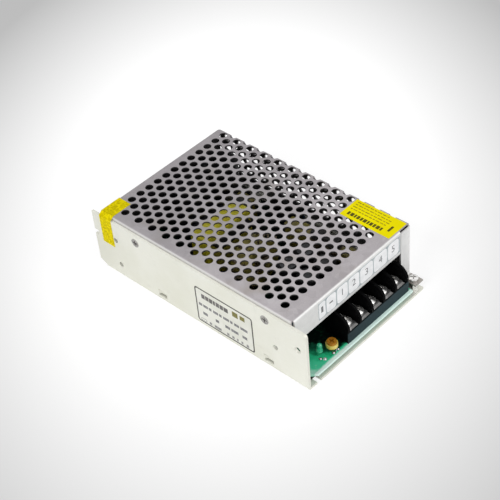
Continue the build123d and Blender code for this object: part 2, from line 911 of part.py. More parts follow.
def device(x):
    """A power device: tab with its hole, moulded body and three formed leads."""
    back = near_in + pad_sheet
    low = board_top + device_level
    half = device_width / 2
    high = low + device_body_height
    body = block(x - half, x + half, back, back + device_depth, low, high)
    body += block(x - half, x + half, back, back + device_tab_sheet, high, high + device_tab_height)
    middle = high + device_tab_height / 2
    body -= prism_y(x, middle, back, back + device_tab_sheet, device_hole_radius)
    out = back + device_depth / 2
    foot = board_near + device_lead_foot
    bend = low - device_lead_drop
    for i in (-1, 0, 1):
        left = x + i * lead_pitch - leg_size / 2
        right = left + leg_size
        body += block(left, right, out, out + leg_size, bend, low)
        body += block(left, right, out, foot, bend - leg_size, bend)
        body += block(left, right, foot - leg_size, foot, board_top, bend)
    return body


def switching_transistors():
    """The two transistors under the left clip."""
    return Compound(children=[device(x) for x in transistor_places])


def insulating_pads():
    """The thin pads between the devices and the wall."""
    made = []
    low = board_top + device_level - pad_overlap
    high = board_top + device_level + device_body_height + device_tab_height + pad_overlap
    half = device_width / 2 + pad_overlap
    for x in transistor_places + [diode_place]:
        made.append(block(x - half, x + half, near_in, near_in + pad_sheet, low, high))
    return Compound(children=made)


def device_clip(x, left_reach, right_reach):
    """A spring clip: hooked over a bridge in the wall, its head pressing on the devices."""
    front = near_in + pad_sheet + device_depth
    shelf = bridge_level + bridge_strip / 2
    half = clip_stem_width / 2
    top = board_top + clip_head_level + clip_head_height
    stem = block(x - half, x + half, near_in - clip_hook, front + clip_sheet, shelf, shelf + clip_sheet)
    stem += block(x - half, x + half, front, front + clip_sheet, shelf, top)
    head = block(x - left_reach, x + right_reach, front, front + clip_sheet, top - clip_head_height, top)
    return stem + head


def device_clips():
    """The two clips: one over both transistors and one that reaches the diode on its left."""
    reach = clip_head_width / 2
    both = device_clip(left_bridge, reach, reach)
    return Compound(children=[both, device_clip(right_bridge, reach, clip_stem_width / 2)])


def bulk_capacitors():
    """The two large input capacitors at the closed end."""
    x = board_left + bulk_left_gap + bulk_radius
    y = board_far - bulk_far_gap - bulk_radius
    top = board_top + bulk_height
    return Compound(children=[prism(x, y - i * bulk_spacing, board_top, top, bulk_radius) for i in (0, 1)])


def transformer_place():
    """The main transformer's axis."""
    return board_left + transformer_from_left, -side + transformer_from_near


def transformer_core():
    """The ferrite core, a frame with a middle leg, standing across the case."""
    x, y = transformer_place()
    low = board_top + bobbin_base
    high = low + core_height
    deep, long = core_depth / 2, core_length / 2
    bar = core_leg / 2
    body = block(x - deep, x + deep, y - long, y + long, low, high)
    for edge in (-1, 1):
        inner, outer = sorted((y + edge * bar, y + edge * (long - bar)))
        body -= block(x - deep, x + deep, inner, outer, low + bar, high - bar)
    return body


def transformer_bobbin():
    """The moulded bobbin: base plate, sleeve round the middle leg and two flanges."""
    x, y = transformer_place()
    base = board_top + bobbin_base
    bar = core_leg / 2
    reach = core_depth / 2 + winding_bulge
    window = core_length / 2 - bar - wrap_gap
    low, high = base + bar + wrap_gap, base + core_height - bar - wrap_gap
    long = core_length / 2
    body = block(x - reach, x + reach, y - long, y + long, board_top, base - wrap_gap)
    sleeve_x, sleeve_y = core_depth / 2 + wrap_gap, bar + wrap_gap
    outer_x, outer_y = sleeve_x + bobbin_sheet, sleeve_y + bobbin_sheet
    body_sleeve = block(x - outer_x, x + outer_x, y - outer_y, y + outer_y, low, high)
    for z in (low, high - bobbin_sheet):
        body_sleeve += block(x - reach, x + reach, y - window, y + window, z, z + bobbin_sheet)
    body_sleeve -= block(x - sleeve_x, x + sleeve_x, y - sleeve_y, y + sleeve_y, low, high)
    for edge in (-1, 1):
        for s in (-1, 1):
            px, py = x + s * (reach - bobbin_pin_inset), y + edge * (window - bobbin_pin_inset)
            half = bobbin_pin / 2
            body += block(px - half, px + half, py - half, py + half, board_top, low)
    return body + body_sleeve


def winding_block(x, y, reach_x, reach_y, hole_x, hole_y, low, high, corner):
    """A wound coil with rounded corners round an upright leg."""
    coil = Pos(x, y, low) * extrude(RectangleRounded(2 * reach_x, 2 * reach_y, corner), high - low)
    return coil - block(x - hole_x, x + hole_x, y - hole_y, y + hole_y, low, high)


def transformer_winding():
    """The taped coil, which bulges out of both sides of the core."""
    x, y = transformer_place()
    bar = core_leg / 2
    base = board_top + bobbin_base
    sleeve_x = core_depth / 2 + 2 * wrap_gap + bobbin_sheet
    sleeve_y = bar + 2 * wrap_gap + bobbin_sheet
    reach_y = core_length / 2 - bar - 3 * wrap_gap
    low = base + bar + 2 * wrap_gap + bobbin_sheet
    high = base + core_height - bar - 2 * wrap_gap - bobbin_sheet
    reach_x = core_depth / 2 + winding_bulge - winding_inset
    return winding_block(x, y, reach_x, reach_y, sleeve_x, sleeve_y, low, high, winding_corner)


def transformer_tape():
    """The tape wrapped round the outside of the core."""
    x, y = transformer_place()
    low = board_top + bobbin_base
    high = low + core_height
    half = core_depth / 2 - tape_inset
    long = core_length / 2
    outer = long + tape_sheet
    wrap = block(x - half, x + half, y - outer, y + outer, low + wrap_gap, high + tape_sheet)
    return wrap - block(x - half, x + half, y - long, y + long, low + wrap_gap, high)


def driver_transformer_place():
    """The small driver transformer's axis, beside the bulk capacitors."""
    x = board_left + bulk_left_gap + 2 * bulk_radius + part_gap + driver_length / 2
    return x, board_far - driver_far_gap - driver_width / 2


def driver_transformer_core():
    """The driver transformer's ferrite frame."""
    x, y = driver_transformer_place()
    half, deep, bar = driver_length / 2, driver_core_depth / 2, driver_leg / 2
    low = board_top + driver_lift
    high = low + driver_height
    body = block(x - half, x + half, y - deep, y + deep, low, high)
    for edge in (-1, 1):
        inner, outer = sorted((x + edge * bar, x + edge * (half - bar)))
        body -= block(inner, outer, y - deep, y + deep, low + bar, high - bar)
    return body


def driver_transformer_winding():
    """The driver transformer's taped coil."""
    x, y = driver_transformer_place()
    bar, wide = driver_leg / 2, driver_width / 2
    low = board_top + driver_lift + bar + wrap_gap
    high = board_top + driver_lift + driver_height - bar - wrap_gap
    reach_x = driver_length / 2 - bar - wrap_gap
    hole_y = driver_core_depth / 2 + wrap_gap
    coil = winding_block(x, y, reach_x, wide, bar + wrap_gap, hole_y, low, high, bar)
    coil += block(x - reach_x, x + reach_x, y - wide, y - wide + driver_foot, board_top, low)
    return coil + block(x - reach_x, x + reach_x, y + wide - driver_foot, y + wide, board_top, low)


def bridge_rectifier():
    """The mains rectifier, a flat block with one cut corner on four leads."""
    x = board_left + bridge_rectifier_from_left
    y = board_far - bridge_rectifier_far_gap
    half = bridge_rectifier_length / 2
    low = board_top + bridge_rectifier_level
    top = low + bridge_rectifier_height
    cut, left, right = bridge_rectifier_corner, x - half, x + half
    outline = [(left, low), (right, low), (right, top), (left + cut, top), (left, top - cut)]
    plane = Plane.XZ.offset(-y - bridge_rectifier_depth / 2)
    body = sheet_outline(plane, outline, bridge_rectifier_depth)
    step = (bridge_rectifier_length - 2 * cut) / 3
    for i in range(4):
        body += upright_leg(x - half + cut + i * step, y, bridge_rectifier_level)
    return body


def film_block(x, y):
    """A boxed film capacitor."""
    long, wide = film_length / 2, film_width / 2
    box = block(x - long, x + long, y - wide, y + wide, board_top, board_top + film_height)
    return chamfer(box.edges().filter_by(Axis.Z), film_edge)


def x_capacitors():
    """The two boxed capacitors across the mains, yellow under the perforation."""
    y = board_far - film_far_gap - film_width / 2
    inlet = film_block(end - inlet_film_from_front, y)
    middle = film_block(board_left + middle_film_from_left, y)
    return Compound(children=[inlet, middle])


def fuse_place():
    """The fuse's middle and its height over the board."""
    return end - fuse_from_front, board_far - fuse_far_gap, board_top + fuse_level


def fuse():
    """The fuse, a tube with two end caps."""
    x, y, z = fuse_place()
    half = fuse_length / 2
    caps = fuse_clip_length + fuse_cap_overlap
    tube = prism_x(x - half, x + half, y, z, fuse_radius - fuse_tube_step)
    tube += prism_x(x - half, x - half + caps, y, z, fuse_radius)
    return tube + prism_x(x + half - caps, x + half, y, z, fuse_radius)


def fuse_clips():
    """The two sprung clips that hold the fuse on the board."""
    x, y, z = fuse_place()
    made = []
    inner = fuse_radius + fuse_clip_gap
    outer = inner + fuse_clip_sheet
    for start in (x - fuse_length / 2, x + fuse_length / 2 - fuse_clip_length):
        stop = start + fuse_clip_length
        clip = block(start, stop, y - outer, y + outer, board_top, z + fuse_radius / 2)
        clip -= block(start, stop, y - inner, y + inner, board_top + fuse_clip_sheet, z + fuse_radius / 2)
        made.append(clip)
    return Compound(children=made)


def thermistor():
    """The inrush limiter, an upright disc on two leads."""
    x = end - fuse_from_front - fuse_length / 2 - thermistor_gap - thermistor_radius
    y = board_far - fuse_far_gap
    z = board_top + thermistor_leg + thermistor_radius
    return leaded_disc(x, y, z, thermistor_radius, thermistor_depth, thermistor_leg)


def leaded_disc(x, y, z, radius, depth, leg):
    """An upright disc on two leads."""
    disc = prism_y(x, z, y - depth / 2, y + depth / 2, radius)
    for s in (-1, 1):
        disc += upright_leg(x + s * disc_lead_spacing / 2, y, leg + disc_lead_overlap)
    return disc


def line_choke_place():
    """The line choke's middle, between the two film capacitors."""
    left = board_left + middle_film_from_left + film_length / 2
    right = end - inlet_film_from_front - film_length / 2
    return (left + right) / 2, board_far - film_far_gap - film_width / 2 - line_core_offset


def line_choke_core():
    """The line choke's ferrite frame."""
    x, y = line_choke_place()
    half, deep = line_core_length / 2, line_core_depth / 2
    low = board_top + line_core_lift
    top = low + line_core_height
    body = block(x - half, x + half, y - deep, y + deep, low, top)
    reach = half - line_core_leg
    return body - block(x - reach, x + reach, y - deep, y + deep, low + line_core_leg, top - line_core_leg)


def line_choke_windings():
    """The line choke's two coils, one on each upright leg."""
    x, y = line_choke_place()
    base = board_top + line_core_lift
    low = base + line_core_leg + line_winding_gap
    high = base + line_core_height - line_core_leg - line_winding_gap
    leg_x = line_core_leg / 2 + line_winding_gap
    leg_y = line_core_depth / 2 + line_winding_gap
    reach_x, edge = leg_x + line_winding_side, leg_y + line_winding_sheet
    made = []
    for s in (-1, 1):
        middle = x + s * (line_core_length - line_core_leg) / 2
        left, right = middle - line_lead / 2, middle + line_lead / 2
        coil = winding_block(middle, y, reach_x, edge, leg_x, leg_y, low, high, line_winding_corner)
        coil += block(left, right, y - edge, y - edge + line_lead_depth, board_top, low)
        coil += block(left, right, y + edge - line_lead_depth, y + edge, board_top, low)
        made.append(coil)
    return Compound(children=made)


def output_choke_place():
    """The output choke's middle; its ring stands across the case."""
    x = board_left + ring_from_left
    y = transformer_place()[1] - ring_offset
    return x, y, board_top + ring_level + ring_radius


def output_choke_core():
    """The output choke's ring."""
    bore = RegularPolygon(ring_bore, ring_sides, major_radius=False)
    profile = RegularPolygon(ring_radius, ring_sides) - bore
    ring = Pos(0, 0, -ring_depth / 2) * extrude(profile, ring_depth)
    return Pos(*output_choke_place()) * Rot(0, 90, 0) * ring


def output_choke_winding():
    """The output choke's heavy turns, each a wire loop round the ring's section."""
    wire = ring_wire / 2
    outer = ring_radius + wrap_gap
    inner = ring_bore - wrap_gap
    half = ring_depth / 2 + wrap_gap
    made = []
    for i in range(ring_turns):
        loop = block(-half - ring_wire, half + ring_wire, -wire, wire, inner - ring_wire, outer + ring_wire)
        loop -= block(-half, half, -wire, wire, inner, outer)
        turn = 360 / ring_turns * (i + 0.5)
        made.append(Pos(*output_choke_place()) * Rot(turn, 0, 0) * loop)
    x, y, z = output_choke_place()
    long, wide = ring_pad_length / 2, ring_pad_width / 2
    for middle in (y - ring_pad_offset, y + ring_pad_offset):
        pad = block(x - long, x + long, middle - wide, middle + wide, board_top, board_top + ring_pad_height)
        made.append(pad)
    return Compound(children=made)


def output_capacitors():
    """The four output capacitors, in a square beside the choke."""
    start = board_left + ring_from_left + ring_depth / 2 + ring_wire + output_capacitors_gap
    x = start + output_capacitor_radius
    y = -side + output_capacitors_from_near
    top = board_top + output_capacitor_height
    made = []
    for i in (0, 1):
        for j in (0, 1):
            px, py = x + i * output_capacitor_spacing, y + j * output_capacitor_spacing
            made.append(prism(px, py, board_top, top, output_capacitor_radius))
    return Compound(children=made)


def control_chip():
    """The control chip in its sixteen pin case."""
    x, y = end - chip_from_front, -side + chip_from_near
    low = board_top + chip_level
    long, wide, thin = chip_length / 2, chip_width / 2, leg_size / 2
    body = block(x - long, x + long, y - wide, y + wide, low, low + chip_height)
    for i in range(chip_pin_count):
        middle = x + (i - (chip_pin_count - 1) / 2) * lead_pitch
        left, right = middle - chip_pin_width / 2, middle + chip_pin_width / 2
        for row in (y - wide - thin, y + wide + thin):
            body += block(left, right, row - thin, row + thin, board_top, low + chip_height / 2)
    return body


def y_capacitors():
    """Three small disc capacitors, from mains side to case."""
    z = board_top + disc_leg + disc_radius
    far_x = board_left + y_capacitor_from_left
    far_y = board_far - y_capacitor_from_far
    places = [
        (board_left + bulk_left_gap + bulk_radius, board_near + y_capacitor_from_near),
        (far_x, far_y),
        (far_x + y_capacitor_spacing, far_y),
    ]
    made = [leaded_disc(x, y, z, disc_radius, disc_depth, disc_leg) for x, y in places]
    return Compound(children=made)


def small_capacitors():
    """A row of small capacitors along the near edge."""
    made = []
    y = board_near + small_row_from_near
    for i in range(3):
        x = end - chip_from_front - small_row_from_chip + i * small_pitch
        made.append(prism(x, y, board_top, board_top + small_capacitor_height, small_capacitor_radius))
    return Compound(children=made)


def lying_resistor(x, y, radius, length):
    """An axial resistor lying on the board along X."""
    z = board_top + radius + resistor_lift
    half, thin = length / 2, leg_size / 2
    body = prism_x(x - half, x + half, y, z, radius)
    for s in (-1, 1):
        far_x = x + s * (half + resistor_lead)
        start, stop = sorted((x + s * half, far_x))
        body += block(start, stop, y - thin, y + thin, z - thin, z + thin)
        body += upright_leg(far_x, y, radius + resistor_lift + thin)
    return body


def small_resistors():
    """The control circuit's resistors."""
    x = end - chip_from_front - chip_length / 2 + resistor_inset
    y = -side + chip_from_near + chip_width / 2 + resistor_from_chip
    places = [(x + i * resistor_spacing_x, y + j * resistor_spacing_y) for i in (0, 1) for j in (0, 1)]
    made = [lying_resistor(px, py, resistor_radius, resistor_length) for px, py in places]
    return Compound(children=made)


def power_resistor():
    """The larger bleeder resistor beside the bulk capacitors."""
    x = board_left + power_resistor_from_left
    y = board_near + power_resistor_from_near
    return lying_resistor(x, y, power_resistor_radius, power_resistor_length)


def snubber_capacitor():
    """A dipped film capacitor between the transformer and the choke."""
    x = board_left + ring_from_left
    y = board_near + snubber_from_near
    low = board_top + snubber_lift
    long, wide = snubber_length / 2, snubber_depth / 2
    body = block(x - long, x + long, y - wide, y + wide, low, low + snubber_height)
    body = chamfer(body.edges(), snubber_edge)
    for s in (-1, 1):
        body += upright_leg(x + s * snubber_lead_spacing / 2, y, snubber_lift + leg_size)
    return body


def side_label():
    """The paper label on the near wall."""
    x = end - side_label_right_inset - side_label_length / 2
    z = side_label_level + side_label_height / 2
    plane = Plane.XZ.offset(side)
    outline = Pos(x, z) * RectangleRounded(side_label_length, side_label_height, side_label_corner)
    return extrude(plane * outline, label_sheet)


def top_sticker():
    """The yellow sticker on the cover's far terminal corner."""
    right = cover_right - top_sticker_inset
    far = side - top_sticker_inset
    left, near = right - top_sticker_length, far - top_sticker_width
    return block(left, right, near, far, case_height, case_height + label_sheet)


def corner_seal():
    """The seal that folds from the cover's near left corner down the wall."""
    left = cover_left + seal_inset
    edge = cover_near + fold
    far, low = edge + seal_top_width, wall_top - seal_drop
    outer = [
        (far, case_height),
        (far, case_height + label_sheet),
        (edge - seal_slope, case_height + label_sheet),
        (-side - label_sheet, wall_top + seal_edge_gap),
        (-side - label_sheet, low),
        (-side, low),
        (-side, wall_top),
        (edge - seal_slope, case_height),
    ]
    return sheet_outline(Plane.YZ.offset(left), outer, seal_length)


def terminal_marking():
    """The marking strip on the flange over the terminals."""
    far = strip_near - fold_gap - marking_far_inset
    top = case_height - marking_drop
    near, low = far - marking_length, top - marking_height
    return block(cover_right, cover_right + label_sheet, near, far, low, top)


pieces = {
    "chassis": chassis(),
    "cover": cover(),
    "cover_screws": cover_screws(),
    "foot_spacer": foot_spacer(),
    "foot_screw": Pos(foot_x, foot_y, foot_level + cover_sheet) * pan_screw(foot_level - chassis_sheet),
    "insulation_sheet": insulation(),
    "circuit_board": board(),
    "board_standoffs": board_standoffs(),
    "board_screws": board_screws(),
    "terminal_housing": terminal_housing(),
    "terminal_contacts": terminal_contacts(),
    "status_lamp": lamp(),
    "status_lamp_legs": lamp_legs(),
    "trimmer_body": trimmer_body(),
    "trimmer_rotor": trimmer_rotor(),
    "trimmer_legs": trimmer_legs(),
    "switching_transistors": switching_transistors(),
    "rectifier_diode": device(diode_place),
    "insulating_pads": insulating_pads(),
    "device_clips": device_clips(),
    "bulk_capacitors": bulk_capacitors(),
    "transformer_core": transformer_core(),
    "transformer_bobbin": transformer_bobbin(),
    "transformer_winding": transformer_winding(),
    "transformer_tape": transformer_tape(),
    "driver_transformer_core": driver_transformer_core(),
    "driver_transformer_winding": driver_transformer_winding(),
    "bridge_rectifier": bridge_rectifier(),
    "x_capacitors": x_capacitors(),
    "fuse": fuse(),
    "fuse_clips": fuse_clips(),
    "thermistor": thermistor(),
    "line_choke_core": line_choke_core(),
    "line_choke_windings": line_choke_windings(),
    "output_choke_core": output_choke_core(),
    "output_choke_winding": output_choke_winding(),
    "output_capacitors": output_capacitors(),
    "control_chip": control_chip(),
    "y_capacitors": y_capacitors(),
    "small_capacitors": small_capacitors(),
    "small_resistors": small_resistors(),
    "power_resistor": power_resistor(),
    "snubber_capacitor": snubber_capacitor(),
    "side_label": side_label(),
    "top_sticker": top_sticker(),
    "corner_seal": corner_seal(),
    "terminal_marking": terminal_marking(),
}
for number, centre in enumerate(bay_centres(), 1):
    pieces[f"clamp_plate_{number}"] = clamp_plate(centre)
    pieces[f"terminal_screw_{number}"] = terminal_screw(centre)

for name, shape in pieces.items():
    save(name, shape)
print(len(pieces), "nodes")
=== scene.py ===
# %% [markdown]
# # An enclosed switching power supply
# The real object is a folded aluminium tray with a circuit board on it, under a thin steel cover that
# is punched full of holes. At the open end stand a black terminal block, a green lamp and a small
# trimmer. The first step loads the exact solids, all in metres and in one frame, with the origin on
# the floor under the middle of the case. Every later cell either gives a solid its finish or makes a
# finer piece that stands in its place.

# %% Load the solids
import bpy
import bmesh
import math
from mathutils import Matrix, Vector


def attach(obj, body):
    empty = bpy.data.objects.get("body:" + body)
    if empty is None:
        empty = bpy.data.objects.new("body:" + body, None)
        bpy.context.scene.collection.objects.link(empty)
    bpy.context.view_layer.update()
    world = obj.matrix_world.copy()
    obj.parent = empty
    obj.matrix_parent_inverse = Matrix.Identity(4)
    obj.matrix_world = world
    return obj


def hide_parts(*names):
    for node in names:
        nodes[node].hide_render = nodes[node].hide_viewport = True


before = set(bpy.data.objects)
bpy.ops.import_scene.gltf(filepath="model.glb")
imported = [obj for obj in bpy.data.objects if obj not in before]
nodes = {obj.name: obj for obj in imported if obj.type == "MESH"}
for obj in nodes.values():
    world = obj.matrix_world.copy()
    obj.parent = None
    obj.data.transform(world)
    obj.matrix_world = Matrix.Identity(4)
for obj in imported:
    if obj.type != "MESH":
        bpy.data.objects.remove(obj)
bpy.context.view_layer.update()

MM = 0.001
TERMINALS = range(1, 6)

# %% [markdown]
# ## Nodes, one method for all
# Materials, the world and the recipes for repeated pieces are all trees of nodes. One class makes a
# node in any of them: its settings first, because they decide which sockets it has, and then the
# values or links of its sockets. A list of links goes to one socket that takes several. Any tree can
# also do arithmetic and take a vector apart, so the class has a method for each.

# %% The class for a tree of nodes
class Wiring:
    """A tree of nodes that is being wired."""

    def __init__(self, tree):
        self.tree = tree

    def node(self, kind, sockets=None, **settings):
        made = self.tree.nodes.new(kind)
        for key, value in settings.items():
            setattr(made, key, value)
        for key, value in (sockets or {}).items():
            for one in value if isinstance(value, list) else [value]:
                self.feed(made.inputs[key], one)
        return made

    def feed(self, socket, value):
        """Links an output, which for a whole node is its first one, or sets a plain value."""
        value = getattr(value, "socket", value)
        if isinstance(value, bpy.types.Node):
            value = value.outputs[0]
        if isinstance(value, bpy.types.NodeSocket):
            self.tree.links.new(value, socket)
        elif socket.type == "RGBA":
            socket.default_value = (*value, 1)
        else:
            socket.default_value = value

    def math(self, operation, *values):
        return Level(self, self.node("ShaderNodeMath", dict(enumerate(values)), operation=operation))

    def apart(self, vector):
        """The three parts of a vector."""
        outputs = self.node("ShaderNodeSeparateXYZ", {0: vector}).outputs
        return [Level(self, output) for output in outputs]


print("one method makes every node:", Wiring.node.__name__)

# %% [markdown]
# ## Arithmetic with sockets
# A finish is mostly arithmetic: where is this point, how far is it from an edge, how strong is the
# stain there. A recipe for a screw is arithmetic too. Wiring Math nodes by hand hides that, so a
# small class wraps an output socket and lets Python's own operators add the nodes. The reflected
# forms make `1 - mask` work as well.

# %% The class for values that nodes work out
class Level:
    """A number that nodes work out, such as one that varies over a surface."""

    def __init__(self, wiring, socket):
        self.wiring, self.socket = wiring, socket

    def math(self, operation, *others):
        return self.wiring.math(operation, self, *others)

    def __add__(self, other):
        return self.math("ADD", other)

    def __sub__(self, other):
        return self.math("SUBTRACT", other)

    def __mul__(self, other):
        return self.math("MULTIPLY", other)

    def __truediv__(self, other):
        return self.math("DIVIDE", other)

    def __pow__(self, other):
        return self.math("POWER", other)

    def __rsub__(self, other):
        return self * -1 + other

    __radd__, __rmul__ = __add__, __mul__

    def step(self, low, high):
        """Rises smoothly from 0 at low to 1 at high."""
        sockets = {"Value": self, "From Min": low, "From Max": high}
        made = self.wiring.node("ShaderNodeMapRange", sockets, interpolation_type="SMOOTHSTEP")
        return Level(self.wiring, made)

    def within(self, low, high, soft=0.0002):
        """1 between two levels and 0 outside them."""
        return self.step(low, low + soft) * (self * -1).step(-high, soft - high)


print("values know", [name for name in dir(Level) if name.startswith("__r")])

# %% [markdown]
# ## A finish
# Each finish is one Principled shader. What is the same all over, such as how metallic a sheet is, is
# set on the shader's own socket. What varies, such as a stain, is wired in. Places are read in
# metres from the object's own coordinates, so `finish.x` at the terminal end is 0.0795.

# %% The class for a finish
class Finish(Wiring):
    """A material that is being made."""

    def __init__(self, name, **constants):
        self.material = bpy.data.materials.new(name)
        self.material.use_nodes = True
        super().__init__(self.material.node_tree)
        self.shader = self.tree.nodes["Principled BSDF"]
        self.place = self.node("ShaderNodeTexCoord").outputs["Object"]
        self.x, self.y, self.z = self.apart(self.place)
        self.set(**constants)

    def set(self, **inputs):
        for key, value in inputs.items():
            self.feed(self.shader.inputs[key.replace("_", " ").title().replace("Ior", "IOR")], value)

    def noise(self, size, detail=3.0, stretch=(1, 1, 1), roughness=0.55):
        """Cloudy noise whose blotches are about one size, in millimetres."""
        scaled = self.node("ShaderNodeMapping", {"Vector": self.place, "Scale": stretch})
        sockets = {"Vector": scaled, "Scale": 1 / (size * MM), "Detail": detail,
                   "Roughness": roughness}
        return Level(self, self.node("ShaderNodeTexNoise", sockets))

    def mix(self, mask, below, above):
        """One colour where the mask is 0, another where it is 1."""
        sockets = {0: mask, 6: below, 7: above}
        return self.node("ShaderNodeMix", sockets, data_type="RGBA").outputs[2]

    def scale(self, stops, level):
        """A colour scale: each stop is a level and the colour there, and between two they blend."""
        color = stops[0][1]
        for (low, _), (high, above) in zip(stops, stops[1:]):
            color = self.mix(level.step(low, high), color, above)
        return color

    def bump(self, height, depth):
        """A relief of a depth in millimetres."""
        sockets = {"Height": height, "Distance": depth * MM, "Strength": 1.0}
        self.set(normal=self.node("ShaderNodeBump", sockets))

    def wear(self, *names):
        """Gives the finish to solids."""
        for name in names:
            dress(nodes[name].data, self)


def dress(mesh, finish):
    """Leaves one material slot, which every face uses."""
    mesh.materials.clear()
    mesh.materials.append(finish.material)
    mesh.polygons.foreach_set("material_index", [0] * len(mesh.polygons))


print("a finish has", [name for name in vars(Finish) if not name.startswith("_")])

# %% [markdown]
# ## Sheet metals
# The tray is plain aluminium, nearly white in the light, with the faint long grain that rolling
# leaves and a few dull smudges. The cover is zinc coated steel, greyer and cloudier, with soft
# spangles on its top, and a painted darker reflection makes it duller towards its closed end. The
# near fold carries a painted highlight, and painted light makes the flanges at the terminal end
# paler. The screwed foot has gone dull and brownish. The inside of the cover gets little light, so
# its inner faces and hole walls are painted dark as shade.

# %% Aluminium and zinc coated steel
NEAR_INSIDE, FAR_INSIDE, LEFT_INSIDE, RIGHT_INSIDE = -0.0459, 0.0476, -0.0720, 0.0682
SHEET_TOP, FOLD_START = 0.0419, 0.0405


def aluminium():
    finish = Finish("rolled_aluminium", metallic=0.35)
    grain = finish.noise(0.5, 4, (0.06, 1, 1))
    cloud = finish.noise(26, 3)
    smudge = finish.noise(7, 4).step(0.56, 0.8)
    tone = (grain * 0.25 + cloud * 0.75).step(0.3, 0.7)
    cream = finish.mix(tone, (0.76, 0.76, 0.67), (0.82, 0.82, 0.75))
    finish.set(base_color=finish.mix(smudge * 0.35, cream, (0.66, 0.65, 0.58)),
               roughness=0.38 + grain * 0.12)
    finish.bump(grain, 0.012)
    return finish


def spangles(finish, size):
    """Crystals of zinc, each of one even level."""
    crystals = {"Vector": finish.place, "Scale": 1 / (size * MM)}
    crystals = finish.node("ShaderNodeTexVoronoi", crystals, feature="F1").outputs["Color"]
    return Level(finish, finish.node("ShaderNodeSeparateColor", {0: crystals}))


def inside_painted_shade(finish):
    """1 on the inner faces of the cover's top, far wall and closed end, where dark shade is painted."""
    across = finish.y.within(NEAR_INSIDE, FAR_INSIDE)
    below_fold = finish.z.within(-0.001, FOLD_START)
    top = across * finish.z.within(-0.001, SHEET_TOP)
    far_wall = finish.y.within(0.0, 0.0489) * below_fold
    closed_end = finish.x.within(-0.0728, -0.0700) * across * below_fold
    along = finish.x.within(LEFT_INSIDE, RIGHT_INSIDE)
    return (top.math("MAXIMUM", far_wall) * along).math("MAXIMUM", closed_end)


def zinc_steel():
    finish = Finish("zinc_coated_steel", metallic=0.6)
    spangle = spangles(finish, 3.5)
    cloud = finish.noise(30, 3)
    speck = finish.noise(0.7, 2)
    tone = (spangle * 0.15 + cloud * 0.6 + speck * 0.25).step(0.25, 0.75)
    # painted light: a paler tone for the flanges at the terminal end
    flange_painted_light = finish.mix(tone, (0.70, 0.70, 0.69), (0.80, 0.80, 0.79))
    # painted highlight along the near fold of the cover
    near_fold_painted_highlight = (finish.y * -1).step(0.0466, 0.0472) * finish.z.step(0.0398, 0.0406)
    layers = (
        (finish.noise(22, 4).step(0.5, 0.72) * 0.6, (0.37, 0.33, 0.30)),
        # painted reflection: the sheet turns darker towards its closed end
        ((1 - finish.x.step(-0.035, 0.045)) * 0.42, (0.20, 0.19, 0.20)),
        (finish.x.step(RIGHT_INSIDE, 0.0692), flange_painted_light),
        (near_fold_painted_highlight, (0.62, 0.61, 0.60)),
        (finish.x.step(0.0700, 0.0712) * (0.75 + tone * 0.25), (0.30, 0.27, 0.24)),
        # painted shade: the inner faces and hole walls of the cover are darkened
        (inside_painted_shade(finish) * 0.92, (0.02, 0.019, 0.02)),
    )
    sheet = finish.mix(tone, (0.368, 0.342, 0.356), (0.512, 0.482, 0.497))
    for mask, color in layers:
        sheet = finish.mix(mask, sheet, color)
    finish.set(base_color=sheet, roughness=0.42 + cloud * 0.10 + spangle * 0.05)
    finish.bump(speck, 0.008)
    return finish


aluminium().wear("chassis")
cover_metal = zinc_steel()
cover_metal.wear("cover")
print("two sheet metals, cover and chassis wear them")

# %% [markdown]
# ## Bright small metal
# Screws, clamp plates and leads are plated and polished, so they mirror the white surroundings. Fine
# turning marks in the roughness keep them from looking like chrome balls. Most finishes are built
# alike: two tones in a cloud and a fine grain, so one function makes them all from a few choices.

# %% Plated steel and tinned brass
def clouded(name, dark, light, gloss, grain, depth, cloud, vary=0.2, detail=(3, 2), band=(0.3, 0.7),
            **constants):
    """Two tones in a cloud, and a fine grain in the roughness and the relief."""
    finish = Finish(name, **constants)
    fine = finish.noise(grain, detail[0])
    tone = finish.noise(cloud, detail[1]).step(*band)
    finish.set(base_color=finish.mix(tone, dark, light), roughness=gloss + fine * vary)
    finish.bump(fine, depth)
    return finish


def plated(name, dark, light, polish, metallic=1.0):
    return clouded(name, dark, light, polish, 0.35, 0.01, 3, metallic=metallic)


plated_steel = plated("plated_steel", (0.60, 0.60, 0.62), (0.80, 0.80, 0.82), 0.12)
plated_steel.wear("foot_spacer", "board_standoffs", "device_clips", "status_lamp_legs", "trimmer_legs")
tinned_brass = plated("tinned_brass", (0.58, 0.57, 0.56), (0.76, 0.75, 0.74), 0.2, 0.5)
tinned_brass.wear("terminal_contacts", "fuse_clips")
screw_steel = plated("screw_steel", (0.50, 0.49, 0.48), (0.96, 0.95, 0.93), 0.08, 0.85)
wall_screw_steel = plated("wall_screw_steel", (0.32, 0.31, 0.30), (0.50, 0.49, 0.47), 0.35)
# painted shade: the clamp plates get a dark copy of plated steel, so they read dark between screw head
# and contact tip
clamp_steel = plated("clamp_steel", (0.13, 0.13, 0.13), (0.24, 0.24, 0.24), 0.2, 0.7)
clamp_steel.wear(*[f"clamp_plate_{k}" for k in TERMINALS])
print("plated pieces finished")

# %% [markdown]
# ## The circuit board
# Solder mask is a thin green varnish over copper. Its colour follows one number, which grows along
# the case and towards the near wall: low under the cover, where painted shade makes the board nearly
# black, and high towards the open corner and the front edge, where painted light makes it paler and
# paler. A cloud breaks the colour up, and a fine weave the gloss and the relief.

# %% Green solder mask
GREENS_SHADE_TO_LIGHT = [(0.0, (0.001, 0.004, 0.003)), (0.22, (0.008, 0.12, 0.06)), (0.42, (0.028, 0.55, 0.26)),
          (0.66, (0.07, 0.64, 0.36)), (0.86, (0.36, 0.72, 0.57)), (1.05, (0.72, 0.90, 0.84))]


